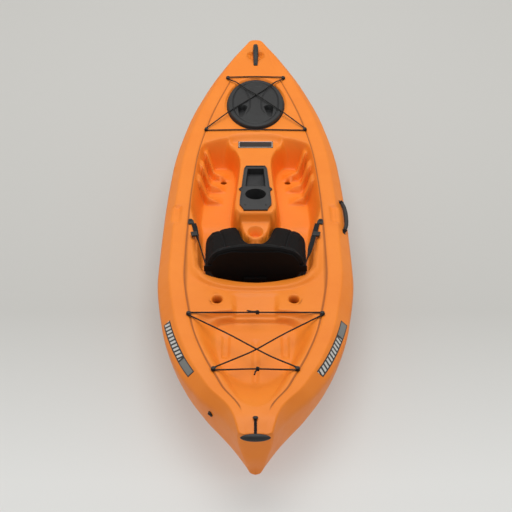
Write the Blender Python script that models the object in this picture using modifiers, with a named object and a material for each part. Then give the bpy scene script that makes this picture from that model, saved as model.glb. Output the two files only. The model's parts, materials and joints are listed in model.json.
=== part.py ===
"""A 3 m sit-on-top recreational kayak, built as its separate pieces.

Metres, +Z up. The bow points along +Y and starboard along +X. The origin is on the floor, under the
middle of the kayak's box. Blender runs it with: blender --background --python part.py
"""

import math

import bmesh
import bpy
from mathutils import Matrix, Vector

# Clearance between pieces that touch, and the wall of the moulded hull.
GAP = 0.0003
WALL = 0.0045
HOLLOW_REACH = (0.012, 0.975)

# Table of offsets: each hull line as (y, half-breadth, height), from the stern to the bow.
KEEL = [
    (-1.420, 0.0, 0.022), (-1.250, 0.0, 0.012), (-1.000, 0.0, 0.012), (-0.700, 0.0, 0.026),
    (0.000, 0.0, 0.030), (0.700, 0.0, 0.026), (1.000, 0.0, 0.014), (1.200, 0.0, 0.022), (1.385, 0.0, 0.095),
]
RUNNER_IN = [
    (-1.423, 0.018, 0.030), (-1.300, 0.030, 0.018), (-1.000, 0.075, 0.004), (-0.750, 0.088, 0.0),
    (0.000, 0.092, 0.0), (0.750, 0.084, 0.0), (1.000, 0.062, 0.006), (1.200, 0.030, 0.030),
    (1.390, 0.008, 0.105),
]
RUNNER_OUT = [
    (-1.431, 0.024, 0.055), (-1.300, 0.062, 0.032), (-1.100, 0.130, 0.010), (-0.850, 0.186, 0.0),
    (0.000, 0.205, 0.0), (0.800, 0.168, 0.0), (1.050, 0.114, 0.012), (1.250, 0.050, 0.048),
    (1.400, 0.011, 0.125),
]
CHINE = [
    (-1.450, 0.034, 0.125), (-1.340, 0.098, 0.120), (-1.195, 0.186, 0.112), (-1.020, 0.262, 0.104),
    (-0.760, 0.322, 0.098), (-0.400, 0.352, 0.095), (0.000, 0.352, 0.095), (0.450, 0.330, 0.098),
    (0.800, 0.280, 0.108), (1.100, 0.190, 0.130), (1.300, 0.106, 0.165), (1.455, 0.018, 0.235),
]
SIDE = [
    (-1.489, 0.060, 0.262), (-1.377, 0.112, 0.252), (-1.226, 0.212, 0.238), (-1.010, 0.303, 0.222),
    (-0.760, 0.358, 0.212), (-0.400, 0.3915, 0.205), (0.000, 0.3875, 0.205), (0.450, 0.367, 0.222),
    (0.800, 0.315, 0.250), (1.100, 0.230, 0.284), (1.350, 0.127, 0.318), (1.520, 0.036, 0.345),
]
EDGE_HEIGHT = [
    (-1.497, 0.288), (-1.420, 0.307), (-1.200, 0.290), (-0.900, 0.271), (-0.500, 0.257), (0.000, 0.252),
    (0.400, 0.256), (0.750, 0.274), (1.150, 0.316), (1.450, 0.352), (1.525, 0.360),
]
# The gunwale chamfer and the flat deck band inside it, as widths.
GUNWALE_RUN = [
    (-1.497, 0.0), (-1.300, 0.036), (-1.000, 0.052), (0.000, 0.048), (0.900, 0.040), (1.450, 0.018),
    (1.525, 0.010),
]
DECK_BAND = 0.058
CREASE_DROP = 0.003
CROWN_RISE = 0.004
CREASE_FADE = 0.060
STERN_END = -1.497
BOW_END = 1.525
STATIONS = 30

# Cockpit: the footwells, the spine between them, the pommel and the seat well.
ARCH_Y = 0.704
ARCH_SHOULDER = (0.110, 0.684)
ARCH_CORNER = (0.236, 0.618)
FOOT_FLOOR_Z = 0.135
FOOT_FRONT_Y = 0.605
FOOT_AFT_Y = 0.065
FOOT_OUTER_RUN = 0.048
SPINE_TOP_Z = 0.243
SPINE_SLOPE = 0.015
SPINE_HALF = [(0.635, 0.117), (0.570, 0.082), (0.490, 0.064), (0.320, 0.073), (0.155, 0.085), (0.020, 0.096)]
SPINE_SPREAD = 0.024
SPINE_AFT_Y = 0.045
POMMEL_Z = 0.196
POMMEL_DROP = 0.024
POMMEL_OUTLINE = [(0.056, 0.066), (0.051, -0.030), (0.030, -0.060)]
POMMEL_SPREAD = 0.003
SEAT_FLOOR_Z = 0.128
SEAT_AFT_Y = -0.450
SEAT_PAN = [
    (0.214, 0.066), (0.214, -0.050), (0.214, -0.240), (0.205, -0.370), (0.165, -0.425), (0.090, -0.446),
]
SEAT_RIM = [
    (0.065, 0.262), (-0.050, 0.256), (-0.238, 0.246), (-0.394, 0.232), (-0.470, 0.208), (-0.522, 0.120),
]
SEAT_RIM_AFT_Y = -0.548
RIDGE_STATIONS = (0.535, 0.435, 0.335)
RIDGE_RISE = 0.020
RIDGE_RUN = 0.050
RIDGE_INNER = 0.140
RIDGE_WALL_RISE = 0.095
PLATEAU_HALF = 0.118

# Tankwell behind the seat.
TANK_FRONT_Y = -0.735
TANK_FRONT_HALF = 0.228
TANK_FLOOR_Z = 0.213
TANK_WALL_RUN = 0.012
TANK_SIDE_RUN = 0.070
TANK_FLOOR_AFT_Y = -1.165
TANK_FLOOR_AFT_HALF = 0.050
TANK_AFT_Y = -1.375
TANK_AFT_HALF = 0.030
TANK_AFT_Z = 0.298
TANK_RIM_INSET = [(-1.165, 0.024), (-0.870, 0.004)]

# Round features moulded in the hull.
SCUPPER = (0.143, 0.475)
SCUPPER_R = 0.014
CUP_Y = -0.010
CUP_R = 0.038
CUP_FOOT_R = 0.028
CUP_DEPTH = 0.030
ROD_HOLDER = (0.147, -0.636)
ROD_HOLDER_R = 0.021
ROD_HOLDER_DEPTH = 0.130
ROD_HOLDER_TILT = math.radians(25)
BOW_DIMPLE_R = 0.042
BOW_DIMPLE_DEPTH = 0.014
SIDE_DIMPLE = (0.030, 0.075)
SIDE_DIMPLE_DEPTH = 0.014

# Fittings stand on flats moulded this far below the hull's surface.
SEAT_SINK = 0.001
SLOPE_STEP = 0.004
SEAT_MARGIN = 0.001

# Hatch: a flat oval seat in the rising deck, a screwed rim, a seal and a press-on lid with two finger pulls.
HATCH_Y = 0.946
HATCH_SEAT_Z = 0.2856
HATCH_SLOPE = math.atan(0.055)
HATCH_MOUTH = (0.104, 0.191)
HATCH_SEAT_OUT = 0.039
RIM_IN = 0.002
RIM_OUT = 0.032
RIM_FLANGE_T = 0.003
RIM_COLLAR_OUT = 0.014
RIM_HEIGHT = 0.011
SEAL_T = 0.002
SEAL_MARGIN = 0.002
LID_OUT = 0.028
LID_SKIRT_T = 0.003
LID_SKIRT_LIFT = 0.0015
LID_T = 0.0045
LID_EDGE = 0.005
RIM_SCREWS = 6
RIM_SCREW_OUT = 0.0195
FINGER_PULL = (0.036, -0.084)
FINGER_PULL_R = (0.016, 0.026)
FINGER_PULL_DEPTH = 0.003
HATCH_SIDES = 36

# Console tray on the spine, with its gear pocket and cup well.
TRAY_OUTLINE = [
    (0.0505, 0.061), (0.0530, 0.075), (0.0675, 0.108), (0.0675, 0.140), (0.0625, 0.220),
    (0.0720, 0.235), (0.0610, 0.250), (0.0505, 0.410), (0.0420, 0.434),
]
TRAY_T = 0.004
TRAY_WALL = 0.0025
TRAY_LIP = 0.003
TRAY_LIP_W = 0.004
TRAY_POCKET = [(0.0465, 0.258), (0.0365, 0.412)]
TRAY_POCKET_DEPTH = 0.029
TRAY_POCKET_RAMP = 0.060
TRAY_CUP_Y = 0.193
TRAY_CUP_R = 0.0455
TRAY_CUP_DEPTH = 0.055
TRAY_SCREW = (0.044, 0.104)
TUB_CLEARANCE = 0.001
PLATE_SIZE = (0.157, 0.058)
PLATE_Y = 0.634
PLATE_T = 0.0015

# Seat: pad, folding backrest with its shell and pouch, and the straps that hold it.
PAD_T = 0.032
PAD_CROWN = 0.0035
PAD_FRONT_Y = 0.052
PAD_AFT_Y = -0.385
PAD_HALF = [(0.052, 0.190), (0.030, 0.204), (-0.230, 0.206), (-0.320, 0.194), (-0.385, 0.150)]
PAD_NOTCH = (0.063, -0.064)
PAD_SEAM_X = 0.100
PAD_SEAM_DEPTH = 0.003
PAD_WAIST = 0.0025
BACK_T = 0.044
BACK_CROWN = 0.005
BACK_TILT = math.radians(14)
BACK_HINGE = (-0.3895, 0.1690)
BACK_HALF = [
    (0.004, 0.085), (0.055, 0.152), (0.095, 0.178), (0.135, 0.187), (0.175, 0.181), (0.208, 0.158),
    (0.240, 0.060),
]
SHELL_T = 0.005
SHELL_MARGIN = 0.014
EAR_HEIGHT = (0.118, 0.146)
EAR_HALF = 0.202
POUCH_SIZE = (0.094, 0.040, 0.012)
POUCH_HEIGHT = 0.070
STRAP_ANCHOR = (0.271, -0.045)
STRAP_W = 0.020
STRAP_T = 0.0016
STRAP_END = (EAR_HALF - 0.0075, (EAR_HEIGHT[0] + EAR_HEIGHT[1]) / 2)
STRAP_TWIST = (0.45, 0.85)
STRAP_TWIST_STEPS = 9
CLIP_LENGTH = 0.030
CLIP_W = 0.024
CLIP_T = 0.004
CLIP_EYE_R = 0.009
BUCKLE_SIZE = (0.030, 0.036, 0.008)
BUCKLE_SHARE = 0.24
SLOT_CLEARANCE = 0.0006

# Handles and the stern toggle.
BOW_HANDLE_ENDS = (1.290, 1.463)
BOW_HANDLE_PAD = 0.020
BOW_HANDLE_HALF = 0.0125
BOW_HANDLE_RISE = 0.026
SIDE_HANDLE_ENDS = (-0.092, 0.132)
SIDE_HANDLE_R = 0.008
SIDE_HANDLE_PIN_R = 0.0035
SIDE_HANDLE_AXIS = 0.009
SIDE_HANDLE_BOW = (0.009, 0.007)
SIDE_TAB = (0.012, 0.016, 0.0155)
SIDE_TAB_FOOT = (0.015, 0.003)
TOGGLE_LENGTH = 0.104
TOGGLE_R = 0.0135
TOGGLE_WAIST_R = 0.0075
TOGGLE_AXIS = (-1.5115, 0.283)
TOGGLE_EYE_Y = -1.437
TOGGLE_HINGE_Y = -1.449
TOGGLE_STRAP_W = 0.010
TOGGLE_STRAP_T = 0.003
TOGGLE_HEAD_R = 0.0085
TOGGLE_HEAD_T = 0.0034

# Screws, deck buttons and shock cords.
SHANK_R = 0.0022
SHANK_LENGTH = 0.009
SCREW_SIDES = 10
SCREW_HEAD_R = 0.0038
SCREW_HEAD_T = 0.0018
BUTTON_SIDES = 10
BUTTON_POST_R = 0.0045
BUTTON_HEAD_R = 0.0090
BUTTON_BASE_T = 0.002
BUTTON_GROOVE = 0.0078
BUTTON_HEAD_T = 0.0035
CORD_R = 0.0025
BOW_BUTTONS = ((0.132, 1.168), (0.224, 0.727))
STERN_BUTTONS = ((0.252, -0.752), (0.149, -1.130))
KNOT_R = 0.0065
KNOT_W = 0.012
KNOT_TAIL = 0.030

# The points of each cord between its buttons: over the crowned deck or the lid, and past its own crossing.
BOW_FORE = [(0.0, 1.1756, 0.3242)]
BOW_AFT = [(0.0, 0.7176, 0.2782)]
BOW_OVER = [
    (-0.094, 1.1210, 0.3222), (-0.040, 1.0540, 0.3165), (0.0, 1.0044, 0.3156),
    (0.045, 0.9487, 0.3110), (0.118, 0.8582, 0.3022),
]
BOW_UNDER = [
    (-0.118, 0.8582, 0.3022), (-0.045, 0.9487, 0.3073), (0.0, 1.0044, 0.3104),
    (0.040, 1.0540, 0.3140), (0.094, 1.1210, 0.3218),
]
STERN_OVER = [(-0.100, -0.8954, 0.2735), (0.0, -0.9895, 0.2755), (0.060, -1.0461, 0.2790)]
STERN_UNDER = [(-0.060, -1.0461, 0.2780), (0.0, -0.9895, 0.2700), (0.100, -0.8954, 0.2705)]

# Drain plug on the port quarter, and the foam blocks inside.
DRAIN_Y = -1.300
DRAIN_SHARE = 0.20
DRAIN_HEAD_R = 0.011
DRAIN_HEAD_T = 0.005
DRAIN_SHANK_R = 0.0072
DRAIN_SEAL_R = 0.0105
# Each foam block as its near and far distance from the hollow's own end, and its half-breadth.
STERN_FOAM = (0.40074, 0.66074, 0.110)
BOW_FOAM = (0.18445, 0.25945, 0.050)

# Each finish as colour, roughness and metallic value.
FINISHES = {
    "hull": ((0.83, 0.19, 0.03), 0.45, 0.0),
    "black_plastic": ((0.012, 0.012, 0.013), 0.45, 0.0),
    "grey_plastic": ((0.045, 0.045, 0.048), 0.55, 0.0),
    "rubber": ((0.016, 0.016, 0.017), 0.75, 0.0),
    "cloth": ((0.010, 0.010, 0.011), 0.90, 0.0),
    "webbing": ((0.008, 0.008, 0.009), 0.85, 0.0),
    "cord": ((0.010, 0.010, 0.011), 0.80, 0.0),
    "steel": ((0.62, 0.62, 0.60), 0.30, 1.0),
    "foam": ((0.80, 0.80, 0.78), 0.90, 0.0),
}

collection = None
cutters = None


def clear_scene():
    for obj in list(bpy.data.objects):
        bpy.data.objects.remove(obj, do_unlink=True)


def new_collection(name):
    made = bpy.data.collections.new(name)
    bpy.context.scene.collection.children.link(made)
    return made


def along(points, y, column=1):
    """The value of a line's column at y, on a smooth curve through its points."""
    ordered = sorted(points)
    ys = [point[0] for point in ordered]
    values = [point[column] for point in ordered]
    if y <= ys[0]:
        return values[0]
    if y >= ys[-1]:
        return values[-1]
    at = max(i for i in range(len(ys) - 1) if ys[i] <= y)
    steps = [(values[i + 1] - values[i]) / (ys[i + 1] - ys[i]) for i in range(len(ys) - 1)]

    def slope(i):
        if i == 0:
            return steps[0]
        if i == len(ys) - 1:
            return steps[-1]
        if steps[i - 1] * steps[i] <= 0:
            return 0.0
        return 2 * steps[i - 1] * steps[i] / (steps[i - 1] + steps[i])

    span = ys[at + 1] - ys[at]
    t = (y - ys[at]) / span
    ends = (2 * t**3 - 3 * t**2 + 1) * values[at] + (3 * t**2 - 2 * t**3) * values[at + 1]
    return ends + ((t**3 - 2 * t**2 + t) * slope(at) + (t**3 - t**2) * slope(at + 1)) * span


def edge_half(y):
    """Half-breadth of the deck edge, where the gunwale chamfer starts."""
    return max(along(SIDE, y) - along(GUNWALE_RUN, y), 0.012)


def crease_half(y):
    """Half-breadth of the crease between the deck band and the inner deck."""
    return max(edge_half(y) - DECK_BAND, 0.005)


def crease_z(y):
    """Height of the crease, whose drop fades out where the deck narrows."""
    return along(EDGE_HEIGHT, y) - CREASE_DROP * min(crease_half(y) / CREASE_FADE, 1.0)


def deck_z(y):
    """Height of the inner deck on the centreline."""
    return crease_z(y) + CROWN_RISE * min(crease_half(y) / CREASE_FADE, 1.0)


def mix(first, second, share):
    return first + (second - first) * share


def deck_surface(x, y):
    """Height of the deck at a point inside its edge."""
    crease, edge = crease_half(y), edge_half(y)
    if abs(x) <= crease:
        return mix(deck_z(y), crease_z(y), abs(x) / crease)
    return mix(crease_z(y), along(EDGE_HEIGHT, y), min((abs(x) - crease) / (edge - crease), 1.0))


def frame_at(origin, normal, forward=(0, 1, 0)):
    """A local frame: Z along the normal, Y as near forward as that allows."""
    z = Vector(normal).normalized()
    x = Vector(forward).cross(z).normalized()
    matrix = Matrix((x, z.cross(x), z)).transposed().to_4x4()
    matrix.translation = Vector(origin)
    return matrix


def deck_frame(x, y, sink=SEAT_SINK):
    """The frame of a fitting on the deck, with its flat moulded a little below the surface."""
    step = SLOPE_STEP
    across = deck_surface(x + step, y) - deck_surface(x - step, y)
    ahead = deck_surface(x, y + step) - deck_surface(x, y - step)
    normal = Vector((-across, -ahead, 2 * step)).normalized()
    return frame_at(Vector((x, y, deck_surface(x, y))) - normal * sink, normal)


def panel_point(upper, lower, share, y):
    """A starboard point on the panel between two hull lines, given as functions of y."""
    return upper(y).lerp(lower(y), share)


def edge_point(y):
    return Vector((edge_half(y), y, along(EDGE_HEIGHT, y)))


def side_point(y):
    return Vector((along(SIDE, y), y, along(SIDE, y, 2)))


def chine_point(y):
    return Vector((along(CHINE, y), y, along(CHINE, y, 2)))


def panel_frame(upper, lower, share, y, side=1, sink=SEAT_SINK):
    """The frame of a fitting on a hull panel: Z out of the panel and Y forwards."""
    step = 0.01
    here = panel_point(upper, lower, share, y)
    ahead = panel_point(upper, lower, share, y + step) - here
    normal = (lower(y) - upper(y)).cross(ahead).normalized()
    normal = normal if normal.x > 0 else -normal
    here -= normal * sink
    for vector in (here, ahead, normal):
        vector.x *= side
    return frame_at(here, normal, ahead)


def link(obj, target=None):
    (target or collection).objects.link(obj)
    return obj


def mesh_object(name, bm, target=None):
    mesh = bpy.data.meshes.new(name)
    bmesh.ops.recalc_face_normals(bm, faces=bm.faces)
    if bm.calc_volume(signed=True) < 0:
        bmesh.ops.reverse_faces(bm, faces=bm.faces)
    bm.to_mesh(mesh)
    bm.free()
    return link(bpy.data.objects.new(name, mesh), target)


def as_cutter(obj):
    obj.hide_render = True
    obj.display_type = "WIRE"
    return obj


def cut(target, other, operation="DIFFERENCE"):
    """A Boolean on closed meshes. The exact solver loses the hull at the pommel, so all use this one."""
    modifier = target.modifiers.new(f"{operation.lower()} {other.name}", "BOOLEAN")
    modifier.operation = operation
    modifier.solver = "MANIFOLD"
    modifier.object = other


def hull_section(u, inset):
    """One ring of the hull at the share u of its length, moved inwards by inset."""
    half = []
    for line in (KEEL, RUNNER_IN, RUNNER_OUT, CHINE, SIDE):
        y = line[0][0] + (line[-1][0] - line[0][0]) * u
        half.append(Vector((along(line, y), y, along(line, y, 2))))
    y = STERN_END + (BOW_END - STERN_END) * u
    edge = along(EDGE_HEIGHT, y)
    half.append(Vector((edge_half(y), y, edge)))
    half.append(Vector((crease_half(y), y, crease_z(y))))
    half.append(Vector((0.0, y, deck_z(y))))
    if inset:
        half = inset_section(half, inset)
    return half + [Vector((-p.x, p.y, p.z)) for p in half[-2:0:-1]]


def inset_section(points, inset):
    """Each point of a half section moved inwards along the mean normal of its two sides."""
    moved = []
    for i, point in enumerate(points):
        before = points[i - 1] if i else Vector((-points[1].x, point.y, points[1].z))
        after = points[i + 1] if i + 1 < len(points) else Vector((-points[-2].x, point.y, points[-2].z))
        first = Vector((before.z - point.z, point.x - before.x)).normalized()
        second = Vector((point.z - after.z, after.x - point.x)).normalized()
        normal = (first + second) * inset / (1 + first.dot(second))
        moved.append(Vector((max(point.x + normal.x, 0.0), point.y, point.z + normal.y)))
    return moved


def hull_form(name, inset, first, last, target):
    """The hull's outer form, or the same form inset by the wall, between two shares of its length."""
    bm = bmesh.new()
    rings = []
    for i in range(STATIONS + 1):
        u = (1 - math.cos(math.pi * i / STATIONS)) / 2
        if first <= u <= last:
            rings.append([bm.verts.new(p) for p in hull_section(u, inset)])
    for ring, following in zip(rings, rings[1:]):
        for j, vert in enumerate(ring):
            k = (j + 1) % len(ring)
            bm.faces.new((vert, ring[k], following[k], following[j]))
    bm.faces.new(rings[0])
    bm.faces.new(rings[-1])
    bmesh.ops.triangulate(bm, faces=[f for f in bm.faces if len(f.verts) == 4], quad_method="FIXED")
    return mesh_object(name, bm, target)


def grown(outline, distance):
    """A plan outline, given anticlockwise, moved outwards by a distance."""
    moved = []
    for i, point in enumerate(outline):
        here = Vector(point[:2])
        before = (here - Vector(outline[i - 1][:2])).normalized()
        after = (Vector(outline[(i + 1) % len(outline)][:2]) - here).normalized()
        first, second = Vector((before.y, -before.x)), Vector((after.y, -after.x))
        normal = (first + second) * distance / max(1 + first.dot(second), 0.3)
        moved.append((here.x + normal.x, here.y + normal.y))
    return moved


def recess(name, low, high, floor, grow, top=0.45):
    """A tapered pocket from a floor outline up to an outline at the deck, carried on above it.

    floor(y) is the floor's height and each point of high may end with its own height. grow moves the
    whole pocket outwards, which leaves a wall of that thickness between it and the hollow.
    """
    bm = bmesh.new()
    heights = [point[2] for point in high]
    low, high = grown(low, grow), grown(high, grow)
    rings = [[bm.verts.new((x, y, floor(y) - grow)) for x, y in low]]
    rings.append([bm.verts.new((x, y, z)) for (x, y), z in zip(high, heights)])
    rings.append([bm.verts.new((x, y, top)) for x, y in high])
    for ring, following in zip(rings, rings[1:]):
        for j, vert in enumerate(ring):
            k = (j + 1) % len(ring)
            bm.faces.new((vert, ring[k], following[k], following[j]))
    bm.faces.new(rings[0])
    bm.faces.new(rings[-1])
    bmesh.ops.triangulate(bm, faces=[f for f in bm.faces if len(f.verts) == 4], quad_method="SHORT_EDGE")
    return as_cutter(mesh_object(name, bm, cutters))


def mirrored(outline):
    return [(-point[0], *point[1:]) for point in reversed(outline)]


def round_cutter(name, radius, start, end, end_radius=None, sides=16):
    """A cylinder or cone between two points."""
    start, end = Vector(start), Vector(end)
    bm = bmesh.new()
    bmesh.ops.create_cone(
        bm, cap_ends=True, segments=sides, radius1=radius,
        radius2=radius if end_radius is None else end_radius, depth=(end - start).length,
    )
    turn = Vector((0, 0, 1)).rotation_difference(end - start).to_matrix().to_4x4()
    bm.transform(Matrix.Translation((start + end) / 2) @ turn)
    return as_cutter(mesh_object(name, bm, cutters))


def spine_z(y):
    """Height of the spine's top, which slopes down gently towards the seat."""
    return SPINE_TOP_Z - SPINE_SLOPE * (FOOT_FRONT_Y - y)


def footwell_outlines():
    """The starboard footwell's floor outline and its outline at the deck, anticlockwise."""
    stations = (0.065, 0.20, 0.35, 0.50)
    outer = [(crease_half(y), y, crease_z(y)) for y in stations]
    outer.append((ARCH_CORNER[0], ARCH_CORNER[1], deck_z(ARCH_CORNER[1])))
    inner = [(x, y, spine_z(y)) for y, x in SPINE_HALF]
    inner[-1] = (inner[-1][0], FOOT_AFT_Y, spine_z(FOOT_AFT_Y))
    high = outer + [(ARCH_SHOULDER[0] + 0.004, ARCH_SHOULDER[1] - 0.016, SPINE_TOP_Z + 0.006)] + inner
    floor_outer = [(crease_half(y) - FOOT_OUTER_RUN, y) for y in stations]
    floor_outer.append((ARCH_CORNER[0] - 0.030, FOOT_FRONT_Y - 0.012))
    floor_inner = [(x + SPINE_SPREAD, min(y, FOOT_FRONT_Y - 0.02)) for y, x in SPINE_HALF]
    floor_inner[0] = (ARCH_SHOULDER[0] + 0.014, FOOT_FRONT_Y - 0.004)
    floor_inner[-1] = (floor_inner[-1][0], FOOT_AFT_Y)
    low = floor_outer + [(ARCH_SHOULDER[0] + 0.030, FOOT_FRONT_Y)] + floor_inner
    return low, high


def foot_ridge(name, y, side):
    """One foot brace: a wedge across the floor whose steep face looks aft, from the outer wall inwards."""
    outer = crease_half(y) - 0.012
    bm = bmesh.new()
    foot = FOOT_FLOOR_Z - 0.03
    lines = (
        (RIDGE_INNER, 0.002), (outer - FOOT_OUTER_RUN, RIDGE_RISE),
        (outer, RIDGE_WALL_RISE), (outer + 0.05, RIDGE_WALL_RISE),
    )
    rings = []
    for x, rise in lines:
        ring = (
            (y - RIDGE_RUN * 0.15, foot), (y - 0.004, FOOT_FLOOR_Z + rise),
            (y + RIDGE_RUN, FOOT_FLOOR_Z + rise * 0.25), (y + RIDGE_RUN, foot),
        )
        rings.append([bm.verts.new((x * side, py, pz)) for py, pz in ring])
    for ring, following in zip(rings, rings[1:]):
        for j, vert in enumerate(ring):
            k = (j + 1) % len(ring)
            bm.faces.new((vert, ring[k], following[k], following[j]))
    bm.faces.new(rings[0])
    bm.faces.new(rings[-1])
    return as_cutter(mesh_object(name, bm, cutters))


def footwell(side, grow):
    low, high = footwell_outlines()
    if side < 0:
        low, high = mirrored(low), mirrored(high)
    label = f"footwell_{'starboard' if side > 0 else 'port'}_{'wall' if grow else 'pocket'}"
    pocket = recess(label, low, high, lambda y: FOOT_FLOOR_Z, grow)
    if not grow:
        for number, y in enumerate(RIDGE_STATIONS):
            cut(pocket, foot_ridge(f"{label}_ridge_{number}", y, side))
    return pocket


def plateau(grow):
    """The shallow step that lowers the spine below the deck, behind the arch line."""
    half, front, aft = PLATEAU_HALF, FOOT_FRONT_Y + 0.025, -0.10
    shoulder_x, shoulder_y = ARCH_SHOULDER
    outline = [
        (half, aft), (half, front), ARCH_SHOULDER, (0.0, ARCH_Y), (-shoulder_x, shoulder_y),
        (-half, front), (-half, aft),
    ]
    low = [(x, y - (0.02 if y > 0 else 0.0)) for x, y in outline]
    high = [(x, y, deck_z(y)) for x, y in outline]
    return recess(f"plateau_{'wall' if grow else 'pocket'}", low, high, spine_z, grow)


def pommel_z(y):
    return POMMEL_Z + POMMEL_DROP * (y - SPINE_AFT_Y) / (SPINE_AFT_Y - POMMEL_OUTLINE[-1][1])


def pommel_step(grow):
    """The drop from the spine's end to the pommel."""
    half, aft = 0.150, -0.30
    low = [(half, aft), (half, SPINE_AFT_Y - 0.008), (-half, SPINE_AFT_Y - 0.008), (-half, aft)]
    high = [(half, aft, 0.25), (half, SPINE_AFT_Y, 0.25), (-half, SPINE_AFT_Y, 0.25), (-half, aft, 0.25)]
    return recess(f"pommel_{'wall' if grow else 'pocket'}", low, high, pommel_z, grow)


def seat_well(grow):
    """The seat's pocket: a low pan round the pommel, with sloping sides up to the rim."""
    rim = [(half, y) for y, half in SEAT_RIM]
    pommel = POMMEL_OUTLINE + [(-x, y) for x, y in reversed(POMMEL_OUTLINE)]
    right = [(x, y) for x, y in reversed(rim)]
    left = [(-x, y) for x, y in rim]
    high = right + pommel + left + [(0.0, SEAT_RIM_AFT_Y)]
    pommel_low = [
        (x + math.copysign(POMMEL_SPREAD, x), y - (POMMEL_SPREAD if y < 0 else 0.0)) for x, y in pommel
    ]
    low = list(reversed(SEAT_PAN)) + pommel_low + [(-x, y) for x, y in SEAT_PAN] + [(0.0, SEAT_AFT_Y)]
    heights = [crease_z(y) for x, y in right]
    pommel_heights = [pommel_z(y) for x, y in pommel]
    heights += pommel_heights + heights[::-1] + [deck_z(SEAT_RIM_AFT_Y)]
    high = [(x, y, z) for (x, y), z in zip(high, heights)]
    return recess(f"seat_{'wall' if grow else 'pocket'}", low, high, lambda y: SEAT_FLOOR_Z, grow)


def tank_rim_half(y):
    return crease_half(y) - along(TANK_RIM_INSET, y)


def tankwell(grow):
    """The rear cargo well: a flat floor, steep front and gently sloping sides."""
    rim = [(tank_rim_half(y), y) for y in (TANK_FRONT_Y, -0.87, -1.00, TANK_FLOOR_AFT_Y)]
    rim[0] = (TANK_FRONT_HALF, TANK_FRONT_Y)
    floor_edge = [(max(x - TANK_SIDE_RUN, TANK_FLOOR_AFT_HALF), y) for x, y in rim]
    floor_edge[0] = (TANK_FRONT_HALF - TANK_SIDE_RUN, TANK_FRONT_Y - TANK_WALL_RUN)
    high = [(x, y, crease_z(y)) for x, y in reversed(rim)]
    high += [(-x, y, crease_z(y)) for x, y in rim]
    low = list(reversed(floor_edge)) + [(-x, y) for x, y in floor_edge]
    return recess(f"tankwell_{'wall' if grow else 'pocket'}", low, high, lambda y: TANK_FLOOR_Z, grow)


def tankwell_ramp(grow):
    """The tankwell's sloping aft end, up to the stern deck."""
    slope = (TANK_AFT_Z - TANK_FLOOR_Z) / (TANK_FLOOR_AFT_Y - TANK_AFT_Y)
    half = tank_rim_half(TANK_FLOOR_AFT_Y)
    floor_half = TANK_FLOOR_AFT_HALF
    front = TANK_FLOOR_AFT_Y + 0.01
    low = [
        (floor_half, front), (-floor_half, front),
        (-TANK_AFT_HALF + 0.01, TANK_AFT_Y), (TANK_AFT_HALF - 0.01, TANK_AFT_Y),
    ]
    rim_z = crease_z(TANK_FLOOR_AFT_Y)
    high = [
        (half, front, rim_z), (-half, front, rim_z),
        (-TANK_AFT_HALF, TANK_AFT_Y - 0.01, 0.303), (TANK_AFT_HALF, TANK_AFT_Y - 0.01, 0.303),
    ]

    def floor(y):
        return TANK_FLOOR_Z + 0.001 + slope * (TANK_FLOOR_AFT_Y - y)

    return recess(f"ramp_{'wall' if grow else 'pocket'}", low, high, floor, grow)


def rod_holder(side, grow):
    x, y = ROD_HOLDER[0] * side, ROD_HOLDER[1]
    tilt = Vector((0, math.sin(ROD_HOLDER_TILT), -math.cos(ROD_HOLDER_TILT)))
    mouth = Vector((x, y, deck_z(y)))
    name = f"rod_holder_{'starboard' if side > 0 else 'port'}_{'wall' if grow else 'bore'}"
    end = mouth + tilt * (ROD_HOLDER_DEPTH + grow)
    return round_cutter(name, ROD_HOLDER_R + grow, mouth - tilt * 0.06, end)


def pommel_cup(grow):
    z = pommel_z(CUP_Y)
    name = f"cup_{'wall' if grow else 'pocket'}"
    start, end = (0, CUP_Y, z - CUP_DEPTH - grow), (0, CUP_Y, z + 0.02)
    return round_cutter(name, CUP_FOOT_R + grow, start, end, CUP_R + grow)


def hatch_frame():
    return frame_at((0, HATCH_Y, HATCH_SEAT_Z), (0, -math.sin(HATCH_SLOPE), math.cos(HATCH_SLOPE)))


def hatch_recess(grow):
    """The flat oval seat of the hatch, sunk in the rising deck."""
    out = HATCH_SEAT_OUT + grow
    name = f"hatch_{'wall' if grow else 'recess'}"
    return as_cutter(oval_loft(name, [(out, 0.08), (out, -grow)], cutters))


def spine_frame(y):
    """A frame on the spine's top, on the centreline, following its slope."""
    return frame_at((0, y, spine_z(y)), (0, -SPINE_SLOPE, 1))


def console_pocket(grow):
    """The pocket in the spine that takes the tray's tub and cup."""
    side = TRAY_WALL + TUB_CLEARANCE
    cup = TRAY_CUP_R + side
    (half_aft, y_aft), (half_front, y_front) = TRAY_POCKET
    half_aft, half_front, y_front = half_aft + side, half_front + side, y_front + side
    aft = TRAY_CUP_Y - cup
    right = [(cup * 0.6, aft), (cup, aft + cup * 0.4), (max(cup, half_aft), y_aft), (half_front, y_front)]
    low = right + [(-x, y) for x, y in reversed(right)]
    high = [(x, y, spine_z(y)) for x, y in low]
    depth = TRAY_CUP_DEPTH + TRAY_WALL + TUB_CLEARANCE
    return recess(f"console_{'wall' if grow else 'pocket'}", low, high, lambda y: spine_z(y) - depth, grow)


def pockets(grow):
    made = [plateau(grow), footwell(1, grow), footwell(-1, grow), pommel_step(grow), seat_well(grow)]
    made += [tankwell(grow), tankwell_ramp(grow), pommel_cup(grow), rod_holder(1, grow), rod_holder(-1, grow)]
    made += [console_pocket(grow), hatch_recess(grow)]
    return made


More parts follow.
